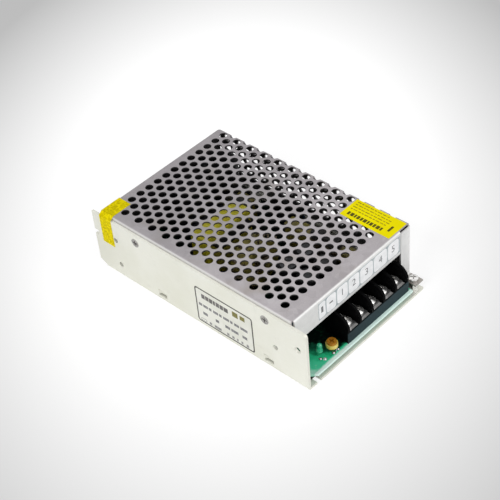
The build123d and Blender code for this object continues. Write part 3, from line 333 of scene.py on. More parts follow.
def solder_mask():
    finish = Finish("solder_mask", specular_ior_level=0.02)
    cloud = finish.noise(2.5, 4)
    weave = finish.noise(0.4, 2)
    # painted shade under the cover and painted light towards the open corner
    painted_light_towards_corner = finish.x * 22.4 - finish.y * 28.8 - 2.06
    # painted light along the front edge of the board
    edge = finish.x.step(0.0740, 0.0784) * 1.15
    painted_light_level = painted_light_towards_corner.math("MAXIMUM", edge) + (cloud - 0.5) * 0.4
    finish.set(base_color=finish.scale(GREENS_SHADE_TO_LIGHT, painted_light_level), roughness=0.30 + weave * 0.15)
    finish.bump(weave * 0.4 + cloud * 0.6, 0.02)
    return finish


solder_mask().wear("circuit_board")
print("board finished,", len(GREENS_SHADE_TO_LIGHT), "greens from dark to pale")

# %% [markdown]
# ## The terminal block's moulding
# The block is black phenolic. Inside the bays and on the barriers hardly any light comes back, while
# the flat front face below the bays, which looks towards the open end, is painted a dull slate: painted
# light that falls on that face, a little paler towards the far wall, with a little dust on it.

# %% Black phenolic
BLOCK_FRONT, BAY_FLOOR = 0.0766, 0.0130


def phenolic():
    finish = Finish("black_phenolic", specular_ior_level=0.03)
    dust = finish.noise(1.6, 4)
    face = finish.x.step(BLOCK_FRONT, 0.0772) * (finish.z * -1).step(-BAY_FLOOR, -0.0122)
    # painted light on the block's front face, paler towards the far wall, mixed with real dust
    front_painted_light_and_dust = face * (0.4 + dust * 0.6 + finish.y.step(-0.014, 0.006) * 0.2)
    base = finish.mix(dust.step(0.4, 0.8), (0.0012, 0.0012, 0.0014), (0.004, 0.004, 0.0045))
    finish.set(base_color=finish.mix(front_painted_light_and_dust, base, (0.036, 0.058, 0.066)), roughness=0.42 + dust * 0.2)
    finish.bump(finish.noise(0.3, 3), 0.015)
    return finish


phenolic().wear("terminal_housing")
print("terminal block finished")

# %% [markdown]
# ## Mouldings and wound parts
# Black packages, cream and orange trimmer plastic, yellow transformer tape, shrink sleeves and the
# like differ in colour, gloss and grain. A table names the solids that wear each one.

# %% Plastics, tape, ferrite and sleeves
def moulded(name, dark, light, gloss, grain=0.4, depth=0.02, cloud=5.0, shine=0.5, **constants):
    constants["specular_ior_level"] = shine
    return clouded(name, dark, light, gloss, grain, depth, cloud, 0.15, **constants)


TAPE = {"grain": 0.8, "depth": 0.05, "cloud": 8.0}
CORE = {"grain": 0.3, "depth": 0.03}
MOULDINGS = (
    ("switching_transistors rectifier_diode transformer_bobbin bridge_rectifier control_chip",
     "black_moulding", (0.003, 0.003, 0.004), (0.008, 0.008, 0.009), 0.32, {"shine": 0.05}),
    ("insulation_sheet",
     "insulation_paper", (0.05, 0.055, 0.045), (0.08, 0.085, 0.07), 0.5, {"shine": 0.2}),
    ("insulating_pads", "thermal_pad", (0.20, 0.21, 0.23), (0.26, 0.27, 0.30), 0.7),
    ("trimmer_body", "trimmer_cream", (0.66, 0.50, 0.07), (0.80, 0.66, 0.18), 0.30),
    ("trimmer_rotor", "trimmer_orange", (0.34, 0.125, 0.0), (0.44, 0.175, 0.001), 0.35),
    ("thermistor",
     "ferrite", (0.006, 0.006, 0.007), (0.014, 0.014, 0.015), 0.45, {"shine": 0.15, **CORE}),
    ("driver_transformer_core line_choke_core",
     "bare_ferrite", (0.025, 0.024, 0.024), (0.055, 0.052, 0.051), 0.4, {"shine": 0.2, **CORE}),
    ("transformer_tape", "winding_tape", (0.66, 0.58, 0.02), (0.86, 0.79, 0.05), 0.22, TAPE),
    ("transformer_core", "core_tape", (0.52, 0.46, 0.03), (0.80, 0.73, 0.06), 0.25, TAPE),
    ("transformer_winding", "shaded_tape", (0.26, 0.22, 0.03), (0.38, 0.33, 0.05), 0.3, TAPE),
    ("driver_transformer_winding", "dark_tape", (0.10, 0.085, 0.01), (0.16, 0.13, 0.015), 0.3),
    ("x_capacitors snubber_capacitor", "film_case", (0.18, 0.15, 0.03), (0.26, 0.22, 0.045), 0.3),
    ("output_choke_core", "powder_ring", (0.17, 0.145, 0.03), (0.25, 0.21, 0.04), 0.4),
    ("y_capacitors", "blue_disc", (0.006, 0.015, 0.035), (0.010, 0.024, 0.055), 0.3, {"shine": 0.1}),
    ("fuse", "fuse_ceramic", (0.36, 0.35, 0.32), (0.46, 0.45, 0.42), 0.3),
    ("small_resistors power_resistor", "resistor_body", (0.05, 0.11, 0.13), (0.07, 0.15, 0.18), 0.4),
)
for solids, name, dark, light, gloss, *choices in MOULDINGS:
    moulded(name, dark, light, gloss, **dict(*choices)).wear(*solids.split())
enamel = moulded("enamelled_wire", (0.10, 0.075, 0.045), (0.17, 0.13, 0.08), 0.25, metallic=0.5)
enamel.wear("line_choke_windings")
sleeve = moulded("capacitor_sleeve", (0.004, 0.004, 0.005), (0.012, 0.012, 0.014), 0.25, shine=0.1)
can_grey = moulded("can_grey", (0.015, 0.016, 0.017), (0.105, 0.107, 0.112), 0.4, cloud=9.0, shine=0.2)
# painted shade: the bulk cans' bare tops are made nearly black so that the holes over them stay dark
can_dark = moulded("can_dark", (0.002, 0.002, 0.002), (0.010, 0.010, 0.011), 0.4, cloud=9.0, shine=0.02)
print(len(MOULDINGS), "mouldings worn, and wire, sleeve and two greys for the cans")

# %% [markdown]
# ## The lamp
# The lens is clear green resin. Some light passes through it, and its inside is a little paler
# towards the rim, where the light gathers.

# %% Green lens
LENS_FOOT, LENS_HEIGHT = 0.0082, 0.0055
RESIN = [(0.0, (0.12, 0.78, 0.46)), (0.6, (0.02, 0.52, 0.28)), (1.0, (0.05, 0.70, 0.40))]
lens = Finish("green_lens", transmission_weight=0.35, ior=1.5, coat_weight=0.6, roughness=0.12)
gathered = (lens.z - LENS_FOOT) * (1 / LENS_HEIGHT) + (lens.noise(1.2, 2) - 0.5) * 0.6
lens.set(base_color=lens.scale(RESIN, gathered))
lens.wear("status_lamp")
print("lamp finished")

# %% [markdown]
# ## Recipes for what repeats
# Screws, cans, holes and turns of wire repeat, so each is described once as a Geometry Nodes tree.
# Its sizes are named inputs in millimetres, and it is laid at every point that it is given. Running
# it leaves a plain mesh in metres, which then behaves like any other mesh.

# %% The class for a recipe
def linked(name, data):
    """A new object in the scene."""
    made = bpy.data.objects.new(name, data)
    bpy.context.collection.objects.link(made)
    return made


class Recipe(Wiring):
    """A Geometry Nodes tree with named sizes in millimetres."""

    def __init__(self, name, **sizes):
        super().__init__(bpy.data.node_groups.new(name, "GeometryNodeTree"))
        face = self.tree.interface
        face.new_socket("Geometry", in_out="OUTPUT", socket_type="NodeSocketGeometry")
        face.new_socket("Places", in_out="INPUT", socket_type="NodeSocketGeometry")
        for label, size in sizes.items():
            kind = "NodeSocketInt" if isinstance(size, int) else "NodeSocketFloat"
            face.new_socket(label, in_out="INPUT", socket_type=kind).default_value = size
        self.given = self.node("NodeGroupInput")

    def sizes(self, *labels):
        return [Level(self, self.given.outputs[label]) for label in labels]

    def point(self, x=0.0, y=0.0, z=0.0):
        return self.node("ShaderNodeCombineXYZ", {0: x, 1: y, 2: z})

    def index(self):
        return Level(self, self.node("GeometryNodeInputIndex"))

    def place(self):
        """How far each point is from the upright axis, and how high it is."""
        x, y, z = self.apart(self.node("GeometryNodeInputPosition"))
        return (x * x + y * y).math("SQRT"), z

    def move(self, geometry, offset, turn=(0, 0, 0)):
        sockets = {"Geometry": geometry, "Translation": offset, "Rotation": turn}
        return self.node("GeometryNodeTransform", sockets)

    def shift(self, geometry, offset):
        """Moves each point by an offset of its own."""
        return self.node("GeometryNodeSetPosition", {"Geometry": geometry, "Offset": offset})

    def join(self, *geometry):
        return self.node("GeometryNodeJoinGeometry", {0: list(geometry)})

    def lay(self, piece, points=None, **sockets):
        """Puts the piece at every point, by default at the places the recipe is given."""
        sockets.update(Points=points or self.given.outputs["Places"], Instance=piece)
        return self.node("GeometryNodeInstanceOnPoints", sockets)

    def circle(self, radius, around):
        return self.node("GeometryNodeCurvePrimitiveCircle", {"Resolution": around, "Radius": radius})

    def rectangle(self, width, height):
        sockets = {"Width": width, "Height": height}
        return self.node("GeometryNodeCurvePrimitiveQuadrilateral", sockets, mode="RECTANGLE")

    def drum(self, radius, height, low=0.0, around=32, rings=1):
        """An upright cylinder from a level up, with rings in its caps."""
        sockets = {"Vertices": around, "Fill Segments": rings, "Radius": radius, "Depth": height}
        made = self.node("GeometryNodeMeshCylinder", sockets)
        return self.move(made, self.point(z=height * 0.5 + low))

    def close(self, geometry, finish):
        """Ends the tree with plain geometry in one material."""
        self.finish = finish
        real = self.node("GeometryNodeRealizeInstances", {0: geometry})
        worn = self.node("GeometryNodeSetMaterial", {"Geometry": real, "Material": finish.material})
        self.feed(self.node("NodeGroupOutput").inputs[0], worn)
        return self

    def make(self, name, places=((0, 0, 0),), **sizes):
        """Runs the recipe at some places and returns a plain object with its mesh in metres."""
        mesh = bpy.data.meshes.new(name)
        mesh.from_pydata(places, [], [])
        carrier = linked(name, mesh)
        modifier = carrier.modifiers.new("making", "NODES")
        modifier.node_group = self.tree
        for item in self.tree.interface.items_tree:
            if item.name in sizes:
                modifier[item.identifier] = sizes[item.name]
        ready = carrier.evaluated_get(bpy.context.evaluated_depsgraph_get())
        mesh = bpy.data.meshes.new_from_object(ready)
        carrier.modifiers.remove(modifier)
        mesh.transform(Matrix.Scale(MM, 4))
        dress(mesh, self.finish)
        carrier.data = mesh
        return carrier


print("recipes take", [name for name in vars(Recipe) if not name.startswith("_")])

# %% [markdown]
# Two helpers finish what a recipe made. One says which body the piece rides on and which solids it
# stands for, and smooths its shading where that is asked. The other turns a piece and puts it in its
# place.

# %% Smoothing and seating a piece
def seat(piece, slot, *replaced, body="supply", smooth=0):
    """Lets a piece ride on a body in place of solids. Edges sharper than the angle stay crisp."""
    if smooth:
        piece.data.shade_smooth()
        piece.data.set_sharp_from_angle(angle=math.radians(smooth))
    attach(piece, body)
    if replaced:
        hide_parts(*replaced)


def turned(piece, place, degrees, axis="Z"):
    """Turns and moves a piece's mesh, so that the object itself stays at the origin."""
    turn = Matrix.Rotation(math.radians(degrees), 4, axis)
    piece.data.transform(Matrix.Translation(Vector(place) * MM) @ turn)
    return piece


print("helpers:", seat.__name__, turned.__name__)

# %% [markdown]
# ## The punched and folded cover
# The real cover is a flat sheet, punched with staggered rows of round holes and then folded, so the
# holes that lie on the fold are bent with it. It is made here in the same order. The blank lies flat
# with X along the case and Y across it, counted as on the finished top. Every second column of holes
# is shifted by half a pitch. A curve fill treats a circle inside the outline as a hole, so no
# boolean is needed for four hundred holes.

# %% The recipe for the punched blank
CASE_TOP, CASE_SIDE = 42.0, 49.0
COVER_NEAR, COVER_SHEET, COVER_BEND = -47.4, 1.0, 0.4
FOLD = COVER_SHEET + COVER_BEND
BEND_RUN = 1.9
COVER_LEFT, FLANGE_FACE = -73.5, 69.6
NEAR_FLANGE, FAR_GAP = 12.0, 0.5
NEAR_SCREWS, FAR_SCREWS = [(-45.0, 34.2), (51.2, 34.2)], [(-51.5, 5.5), (47.6, 5.5)]
NEAR_HOLE, FAR_HOLE = 1.55, 2.88
AROUND, WELD = 28, 0.0005


def across_near(z):
    """Where a height on the near flange lies across the flat blank."""
    return COVER_NEAR + FOLD - BEND_RUN - (CASE_TOP - FOLD - z)


def across_far(z):
    """Where a height on the far wall lies across the flat blank."""
    return CASE_SIDE - FOLD + BEND_RUN + CASE_TOP - FOLD - z


BLANK_LEFT, BLANK_RIGHT = COVER_LEFT + FOLD, FLANGE_FACE - FOLD
BLANK_NEAR, BLANK_FAR = across_near(CASE_TOP - NEAR_FLANGE), across_far(FAR_GAP)


def staggered_points(recipe):
    """A grid of points in which every second column is shifted by half a pitch."""
    labels = ("columns", "rows", "column_step", "pitch", "first_x", "first_y")
    columns, rows, step, pitch, first_x, first_y = recipe.sizes(*labels)
    span_x, span_y = (columns - 1.0) * step, (rows - 1.0) * pitch
    sockets = {"Size X": span_x, "Size Y": span_y, "Vertices X": columns, "Vertices Y": rows}
    grid = recipe.node("GeometryNodeMeshGrid", sockets)
    even = 1 - (recipe.index() / rows).math("FLOOR").math("MODULO", 2.0)
    shift = even * (pitch * 0.5)
    return recipe.shift(grid, recipe.point(first_x + span_x * 0.5, first_y + span_y * 0.5 + shift))


def screw_holes(recipe):
    """Two plain holes in the near flange and two countersunk ones low in the far wall."""
    places = [(x, across_far(z), FAR_HOLE) for x, z in FAR_SCREWS]
    places += [(x, across_near(z), NEAR_HOLE) for x, z in NEAR_SCREWS]
    return [recipe.move(recipe.circle(radius, AROUND), (x, u, 0)) for x, u, radius in places]


def punched_blank():
    recipe = Recipe("punched_blank", columns=24, rows=17, column_step=5.4, pitch=6.8,
                    first_x=-66.3, first_y=-39.8, hole_radius=2.4, sheet=COVER_SHEET)
    hole_radius, sheet = recipe.sizes("hole_radius", "sheet")
    holes = recipe.lay(recipe.circle(hole_radius, AROUND), staggered_points(recipe))
    outline = recipe.rectangle(BLANK_RIGHT - BLANK_LEFT, BLANK_FAR - BLANK_NEAR)
    outline = recipe.move(outline, ((BLANK_LEFT + BLANK_RIGHT) / 2, (BLANK_NEAR + BLANK_FAR) / 2, 0))
    curves = recipe.join(outline, holes, *screw_holes(recipe))
    curves = recipe.node("GeometryNodeRealizeInstances", {0: curves})
    face = recipe.node("GeometryNodeFillCurve", {"Curve": curves})
    down = recipe.point(z=sheet * -1.0)
    sockets = {"Mesh": face, "Offset": down, "Offset Scale": 1.0, "Individual": False}
    under = recipe.node("GeometryNodeExtrudeMesh", sockets, mode="FACES")
    sockets = {"Geometry": recipe.join(under, face), "Distance": WELD}
    welded = recipe.node("GeometryNodeMergeByDistance", sockets)
    return recipe.close(recipe.lay(welded), cover_metal)


blank = punched_blank().make("perforated_cover")
print("flat blank:", len(blank.data.polygons), "faces")

# %% [markdown]
# A fill leaves long thin triangles that span the fold lines, and those would cut the corner when
# the sheet is bent. So the mesh is first sliced across at small steps along each fold. Then each
# point is wrapped round the fold by its distance across and its depth in the sheet.

# %% Slice the fold lines and wrap the sheet
def wrapped(x, u, depth):
    """Where a point of the flat blank lies on the folded cover."""
    radius = FOLD - depth
    for start, side in ((CASE_SIDE - FOLD, 1), (COVER_NEAR + FOLD, -1)):
        past = side * (u - start)
        if past > BEND_RUN:
            return x, start + side * radius, CASE_TOP - FOLD - (past - BEND_RUN)
        if past > 0:
            turn = past / BEND_RUN * math.pi / 2
            return x, start + side * radius * math.sin(turn), CASE_TOP - FOLD + radius * math.cos(turn)
    return x, u, CASE_TOP - depth


def fold_blank(mesh, cuts=6, on_line=1e-5):
    sheet = bmesh.new()
    sheet.from_mesh(mesh)
    bmesh.ops.scale(sheet, vec=(1 / MM, 1 / MM, 1 / MM), verts=sheet.verts[:])
    for start in (CASE_SIDE - FOLD, COVER_NEAR + FOLD - BEND_RUN):
        for cut in range(cuts + 1):
            every = sheet.verts[:] + sheet.edges[:] + sheet.faces[:]
            level = (0, start + BEND_RUN * cut / cuts, 0)
            bmesh.ops.bisect_plane(sheet, geom=every, dist=on_line, plane_co=level, plane_no=(0, 1, 0))
    for vertex in sheet.verts:
        vertex.co = Vector(wrapped(vertex.co.x, vertex.co.y, -vertex.co.z)) * MM
    bmesh.ops.recalc_face_normals(sheet, faces=sheet.faces[:])
    sheet.to_mesh(mesh)
    sheet.free()


fold_blank(blank.data)
print("folded cover:", len(blank.data.polygons), "faces")

# %% [markdown]
# The end flanges, the corner strip and the foot have no holes, so their exact solid can be used. A
# copy of the cover's mesh is merged, everything between the two ends is taken out of it, and the
# open seams are closed. The copy then joins the folded sheet as one piece.

# %% Join the folded sheet with the exact ends
SAME_POINT, EDGE_SLACK = 2e-6, 0.01


def cover_ends():
    ends = bmesh.new()
    ends.from_mesh(nodes["cover"].data)
    bmesh.ops.remove_doubles(ends, verts=ends.verts[:], dist=SAME_POINT)
    low, high = (BLANK_LEFT - EDGE_SLACK) * MM, (BLANK_RIGHT + EDGE_SLACK) * MM
    middle = [face for face in ends.faces if low < face.calc_center_median().x < high]
    bmesh.ops.delete(ends, geom=middle, context="FACES")
    bmesh.ops.holes_fill(ends, edges=[edge for edge in ends.edges if edge.is_boundary])
    return ends


ends = cover_ends()
ends.from_mesh(blank.data)
ends.to_mesh(blank.data)
ends.free()
dress(blank.data, cover_metal)
seat(blank, "cover_steel", "cover", smooth=35)
print("cover:", sum(len(face.vertices) - 2 for face in blank.data.polygons), "triangles")

# %% [markdown]
# ## Screws
# All the screws here have a domed head with a cross cut into it. The dome is a disc whose points are
# lifted by how near they are to the middle, and the cross is two bars cut out of it. The power says
# how flat the dome is in the middle.

# %% The recipe for a crossed screw
DOME_POWER, CROSS_RISE = 2.4, 0.01
SCREW_X, SCREW_SEAT = 71.0, 13.45
FIRST_BAY, BAY_PITCH = -8.6, 10.0
FIRST_TURN, TURN_STEP = 51, 31


def crossed_screw(finish):
    recipe = Recipe("crossed_screw", head_radius=3.3, rim_height=0.95, dome=1.1,
                    shank_radius=1.75, shank_length=6.4, arm=1.7, width=0.65, depth=1.1)
    radius, rim, dome = recipe.sizes("head_radius", "rim_height", "dome")
    arm, width, depth = recipe.sizes("arm", "width", "depth")
    shank_radius, shank_length = recipe.sizes("shank_radius", "shank_length")
    out, z = recipe.place()
    lift = (1 - (out / radius) ** DOME_POWER) * dome * z.math("GREATER_THAN", rim * 0.5)
    domed = recipe.shift(recipe.drum(radius, rim, around=40, rings=7), recipe.point(z=lift))
    middle = recipe.point(z=rim + dome - depth * 0.5 + CROSS_RISE)
    bars = []
    for size in (recipe.point(arm * 2.0, width, depth), recipe.point(width, arm * 2.0, depth)):
        bar = recipe.node("GeometryNodeMeshCube", {"Size": size})
        bars.append(recipe.move(bar, middle))
    cut = recipe.node("GeometryNodeMeshBoolean", {0: domed, 1: bars}, operation="DIFFERENCE")
    shank = recipe.drum(shank_radius, shank_length, shank_length * -1.0, around=24)
    return recipe.close(recipe.lay(recipe.join(cut, shank)), finish)


screws = crossed_screw(screw_steel)
for bay, k in enumerate(TERMINALS):
    place = (SCREW_X, FIRST_BAY + BAY_PITCH * bay, SCREW_SEAT)
    screw = turned(screws.make(f"bay_screw_{k}"), place, FIRST_TURN + TURN_STEP * bay)
    seat(screw, "plated_steel", f"terminal_screw_{k}", body=f"screw_{k}", smooth=40)
print("terminal screws:", len(screw.data.polygons), "faces each")

# %% [markdown]
# The same recipe with other sizes gives the foot's screw and the flat, countersunk ones in the walls.
# The wall screws' heads are flush, so their dome is almost nothing, and they are turned to point
# across the case.

# %% Foot, board and wall screws
FOOT = (74.75, 44.9, 7.0)
BOARD_TOP = 5.4
BOARD_SCREWS = [(-65.5, -36.0), (-40.5, 41.8), (10.5, -38.5), (56.3, -38.0), (62.3, 42.4)]
SMALL = {"head_radius": 2.8, "shank_radius": 1.5, "arm": 1.7, "width": 0.7}
PAN = {**SMALL, "rim_height": 1.1, "dome": 0.8}
FLAT = {**SMALL, "rim_height": 0.7, "dome": 0.06, "shank_length": 1.9, "depth": 1.0}
FLAT_SEAT = CASE_SIDE - 0.76

board_places = [(x, y, BOARD_TOP) for x, y in BOARD_SCREWS]
foot_screw = turned(screws.make("domed_foot_screw", shank_length=4.5, **PAN), FOOT, 35)
board_screws = screws.make("domed_board_screws", board_places, shank_length=3.4, **PAN)
seat(foot_screw, "plated_steel", "foot_screw", smooth=40)
seat(board_screws, "plated_steel", "board_screws", smooth=40)
wall_screws = crossed_screw(wall_screw_steel)
for name, side, places, replaced in (("near_wall_screws", -1, NEAR_SCREWS, ["cover_screws"]),
                                     ("far_wall_screws", 1, FAR_SCREWS, [])):
    flat = wall_screws.make(name, [(x, -side * z, 0) for x, z in places], **FLAT)
    turned(flat, (0, side * FLAT_SEAT, 0), -side * 90, "X")
    seat(flat, "plated_steel", *replaced, smooth=40)
print("screws in foot, board and walls")

# %% [markdown]
# ## Cans, ring and wire
# The round parts under the cover show through its holes. A can is a drum whose top edge is rounded
# by pulling the outer rings of its cap down. Each kind of can is laid at all its places in one go.

# %% The recipe for a can
DISC_HEIGHT = 0.1


def can():
    recipe = Recipe("can", radius=6.2, height=25.0, rim=0.9)
    radius, height, rim = recipe.sizes("radius", "height", "rim")
    out, z = recipe.place()
    share = (out - (radius - rim * 2.0)).math("MAXIMUM", 0.0) / (rim * 2.0)
    drop = share ** 2.0 * rim * z.math("GREATER_THAN", height * 0.5)
    body = recipe.drum(radius, height, around=40, rings=10)
    return recipe.close(recipe.lay(recipe.shift(body, recipe.point(z=drop * -1.0))), sleeve)


def can_top():
    recipe = Recipe("can_top", radius=4.0, height=25.0)
    radius, height = recipe.sizes("radius", "height")
    return recipe.close(recipe.lay(recipe.drum(radius, DISC_HEIGHT, height)), can_grey)


CAN_SETS = {
    "bulk_cans": ("bulk_capacitors", 11.0, 30.0, can_dark, [(-58.0, 31.8), (-58.0, 7.8)]),
    "output_cans": ("output_capacitors", 6.2, 25.0, can_grey,
                    [(29.5, -6.5), (29.5, 7.5), (43.5, -6.5), (43.5, 7.5)]),
    "small_cans": ("small_capacitors", 2.5, 11.0, can_grey,
                   [(18.5, -40.0), (25.5, -40.0), (32.5, -40.0)]),
}
print("three sets of cans:", [len(row[-1]) for row in CAN_SETS.values()])

# %% [markdown]
# A can's sleeve ends at the rim and leaves the bare metal on top, so each can gets a thin disc
# inside its rim: pale grey on most of them, and nearly black on the two large ones, as painted shade.

# %% Lay the cans
RIM_MOST, RIM_SHARE, TOP_SHARE = 0.9, 0.2, 0.72
cans, tops = can(), can_top()
for name, (solid, radius, height, grey, spots) in CAN_SETS.items():
    places = [(x, y, BOARD_TOP) for x, y in spots]
    low, rim = height - DISC_HEIGHT, min(RIM_MOST, radius * RIM_SHARE)
    body = cans.make(name, places, radius=radius, height=low, rim=rim)
    disc = tops.make(name + "_tops", places, radius=radius * TOP_SHARE, height=low)
    dress(disc.data, grey)
    seat(body, "capacitor_can", solid, smooth=35)
    seat(disc, "capacitor_can", smooth=35)
print("cans laid with their tops")

# %% [markdown]
# The output choke is a ring wound with round wire. A turn of wire is a rounded loop, and the recipe
# stands a number of them round the ring like spokes.

# %% The recipe for turns of wire
LOOP_CORNER, CORNER_PARTS, WIRE_SIDES = 1.2, 3, 8


def ring_turns():
    recipe = Recipe("ring_turns", turns=30, ring_radius=8.5, loop_width=7.0, loop_height=9.5, wire=0.55)
    turns, ring_radius, wire = recipe.sizes("turns", "ring_radius", "wire")
    loop = recipe.rectangle(*recipe.sizes("loop_width", "loop_height"))
    sockets = {"Curve": loop, "Radius": LOOP_CORNER, "Count": CORNER_PARTS}
    soft = recipe.node("GeometryNodeFilletCurve", sockets, mode="POLY")
    sockets = {"Curve": soft, "Profile Curve": recipe.circle(wire, WIRE_SIDES)}
    turn = recipe.node("GeometryNodeCurveToMesh", sockets)
    turn = recipe.move(turn, (0, 0, 0), (math.pi / 2, 0, 0))
    turn = recipe.move(turn, recipe.point(x=ring_radius))
    line = recipe.node("GeometryNodeMeshLine", {"Count": turns, "Offset": (0, 0, 0)})
    angle = recipe.index() * recipe.math("DIVIDE", math.tau, turns)
    spin = recipe.node("FunctionNodeEulerToRotation", {0: recipe.point(z=angle)})
    return recipe.close(recipe.lay(recipe.lay(turn, line, Rotation=spin)), enamel)


print("ring recipe ready:", ring_turns.__name__)

# %% [markdown]
# The ring of the output choke stands on edge with its axis along the case, so the finished turns are
# tipped over by a quarter turn.

# %% Wind the ring
RING_PLACE = (6.0, -8.0, 20.9)
ring = ring_turns().make("ring_winding_turns", turns=12, ring_radius=10.35, loop_width=12.5,
                         loop_height=7.7, wire=0.6)
seat(turned(ring, RING_PLACE, 90, "Y"), "copper_wire", "output_choke_winding", smooth=60)
print("ring wound:", len(ring.data.polygons), "faces")

# %% [markdown]
# ## Solder joints
# At the open corner the legs of the lamp and of the trimmer end in small shiny cones of solder on
# round pads.

# %% Solder joints at the open corner
PAD_SHEET = 0.08
PADS = [(72.7, -31.7), (74.6, -30.4), (75.3, -20.6), (75.3, -24.2)]


def solder_joint():
    recipe = Recipe("solder_joint", pad=1.1, foot=0.85, tip=0.35, height=0.75)
    pad, foot, tip, height = recipe.sizes("pad", "foot", "tip", "height")
    disc = recipe.drum(pad, PAD_SHEET, around=24)
    sockets = {"Vertices": 24, "Radius Top": tip, "Radius Bottom": foot, "Depth": height}
    cone = recipe.node("GeometryNodeMeshCone", sockets)
    return recipe.close(recipe.lay(recipe.join(disc, cone)), plated_steel)


joints = solder_joint().make("solder_joints", [(x, y, BOARD_TOP) for x, y in PADS])
seat(joints, "plated_steel", smooth=50)
print(len(PADS), "solder joints")

# %% [markdown]
# ## Flat pieces on a surface
# Labels, their print and the marking strip are all flat shapes: a rounded plate, a rounded frame or
# small blocks, each a hair thicker than what it lies on. One class gathers them in millimetres on a
# plane. It is told how its two directions and its height lie in space, so the same calls draw on a
# wall, on the top or on the flange.

# %% The class for flat pieces
PAPER, INK = 0.08, 0.1


def corners(a0, a1, b0, b1):
    """A rectangle's corners, going round from the lowest."""
    return [(a0, b0), (a1, b0), (a1, b1), (a0, b1)]


def rounded_outline(a0, a1, b0, b1, radius, parts=6):
    """The points of a rectangle with rounded corners, going round once."""
    points = []
    centres = corners(a0 + radius, a1 - radius, b0 + radius, b1 - radius)
    for (a, b), start in zip(centres, (180, 270, 0, 90)):
        for part in range(parts + 1):
            turn = math.radians(start + 90 * part / parts)
            points.append((a + radius * math.cos(turn), b + radius * math.sin(turn)))
    return points


def from_shape(name, shape, finish):
    """A new object with a shape that was gathered in bmesh."""
    mesh = bpy.data.meshes.new(name)
    shape.to_mesh(mesh)
    shape.free()
    mesh.materials.append(finish.material)
    return linked(name, mesh)


class Sheet:
    """Flat shapes that are drawn on one plane of the object, by default as thick as ink."""

    def __init__(self, put):
        self.put, self.shape = put, bmesh.new()

    def ring(self, outline, level):
        return [self.shape.verts.new(Vector(self.put(a, b, level)) * MM) for a, b in outline]

    def strip(self, first, second):
        """Joins two rings of points with quads."""
        for i in range(len(first)):
            self.shape.faces.new((first[i - 1], first[i], second[i], second[i - 1]))

    def plate(self, outline, low=PAPER, high=INK):
        under, over = self.ring(outline, low), self.ring(outline, high)
        self.strip(under, over)
        self.shape.faces.new(over)
        self.shape.faces.new(under[::-1])

    def frame(self, outer, inner):
        rings = [self.ring(outline, level) for outline, level in
                 ((outer, PAPER), (outer, INK), (inner, INK), (inner, PAPER))]
        for k in range(4):
            self.strip(rings[k - 1], rings[k])

    def row(self, edges, b0, b1):
        """Blocks between pairs of edges, on one line."""
        for start, stop in zip(edges[::2], edges[1::2]):
            self.plate(corners(start, stop, b0, b1))

    def piece(self, name, finish, *replaced, slot="paper_label"):
        bmesh.ops.recalc_face_normals(self.shape, faces=self.shape.faces[:])
        seat(from_shape(name, self.shape, finish), slot, *replaced)


def on_wall(a, b, level):
    return a, -CASE_SIDE - level, b


def on_top(a, b, level):
    return a, b, CASE_TOP + level


def on_flange(a, b, level):
    return FLANGE_FACE + level, a, b


print("planes:", on_wall.__name__, on_top.__name__, on_flange.__name__)

# %% [markdown]
# Papers and films have a faint fibre in their roughness and soft stains. The seal is older than the
# rest: its yellow has gone patchy where it was wiped.

# %% Paper, film and ink
FIBRE = {"detail": (4, 4), "band": (0.35, 0.65)}


def paper(name, dark, light, blotch=14.0, gloss=0.42, shine=0.5):
    return clouded(name, dark, light, gloss, 0.6, 0.008, blotch, specular_ior_level=shine, **FIBRE)


label_paper = paper("label_paper", (0.70, 0.70, 0.63), (0.78, 0.78, 0.72))
strip_white = paper("strip_white", (0.82, 0.83, 0.84), (0.92, 0.92, 0.93), 4.0)
strip_grey = paper("strip_grey", (0.36, 0.41, 0.43), (0.50, 0.54, 0.55), 3.0)
sticker_yellow = paper("sticker_yellow", (0.86, 0.75, 0.0), (0.94, 0.83, 0.001), shine=0.04)
seal_yellow = paper("seal_yellow", (0.54, 0.44, 0.0), (0.84, 0.70, 0.001), 1.3, 0.5, shine=0.04)
seal_yellow.wear("corner_seal")
bold_ink = paper("bold_ink", (0.075, 0.07, 0.066), (0.17, 0.16, 0.155), 0.8)
frame_ink = paper("frame_ink", (0.035, 0.032, 0.028), (0.055, 0.05, 0.045), 3.0)
sticker_ink = paper("sticker_ink", (0.07, 0.06, 0.004), (0.14, 0.12, 0.008), 1.2, shine=0.1)
sticker_fine_ink = paper("sticker_fine_ink", (0.30, 0.24, 0.003), (0.52, 0.43, 0.005), 0.9, shine=0.1)
print_ink = paper("print_ink", (0.11, 0.115, 0.12), (0.25, 0.25, 0.255), 0.9)
pale_ink = paper("pale_ink", (0.20, 0.20, 0.20), (0.32, 0.32, 0.31), 1.2)
olive_ink = paper("olive_ink", (0.13, 0.12, 0.02), (0.22, 0.20, 0.04), 1.0)
print("papers and inks finished")

# %% [markdown]
# The label on the near wall has a dark rounded frame, a bold first row with two olive blocks, and
# small rows below. All of it is shown as plain blocks. A row is a low level, a high level and the
# edges of its blocks. The paper is a little thinner than its solid, so that paper and print together
# are just as thick.

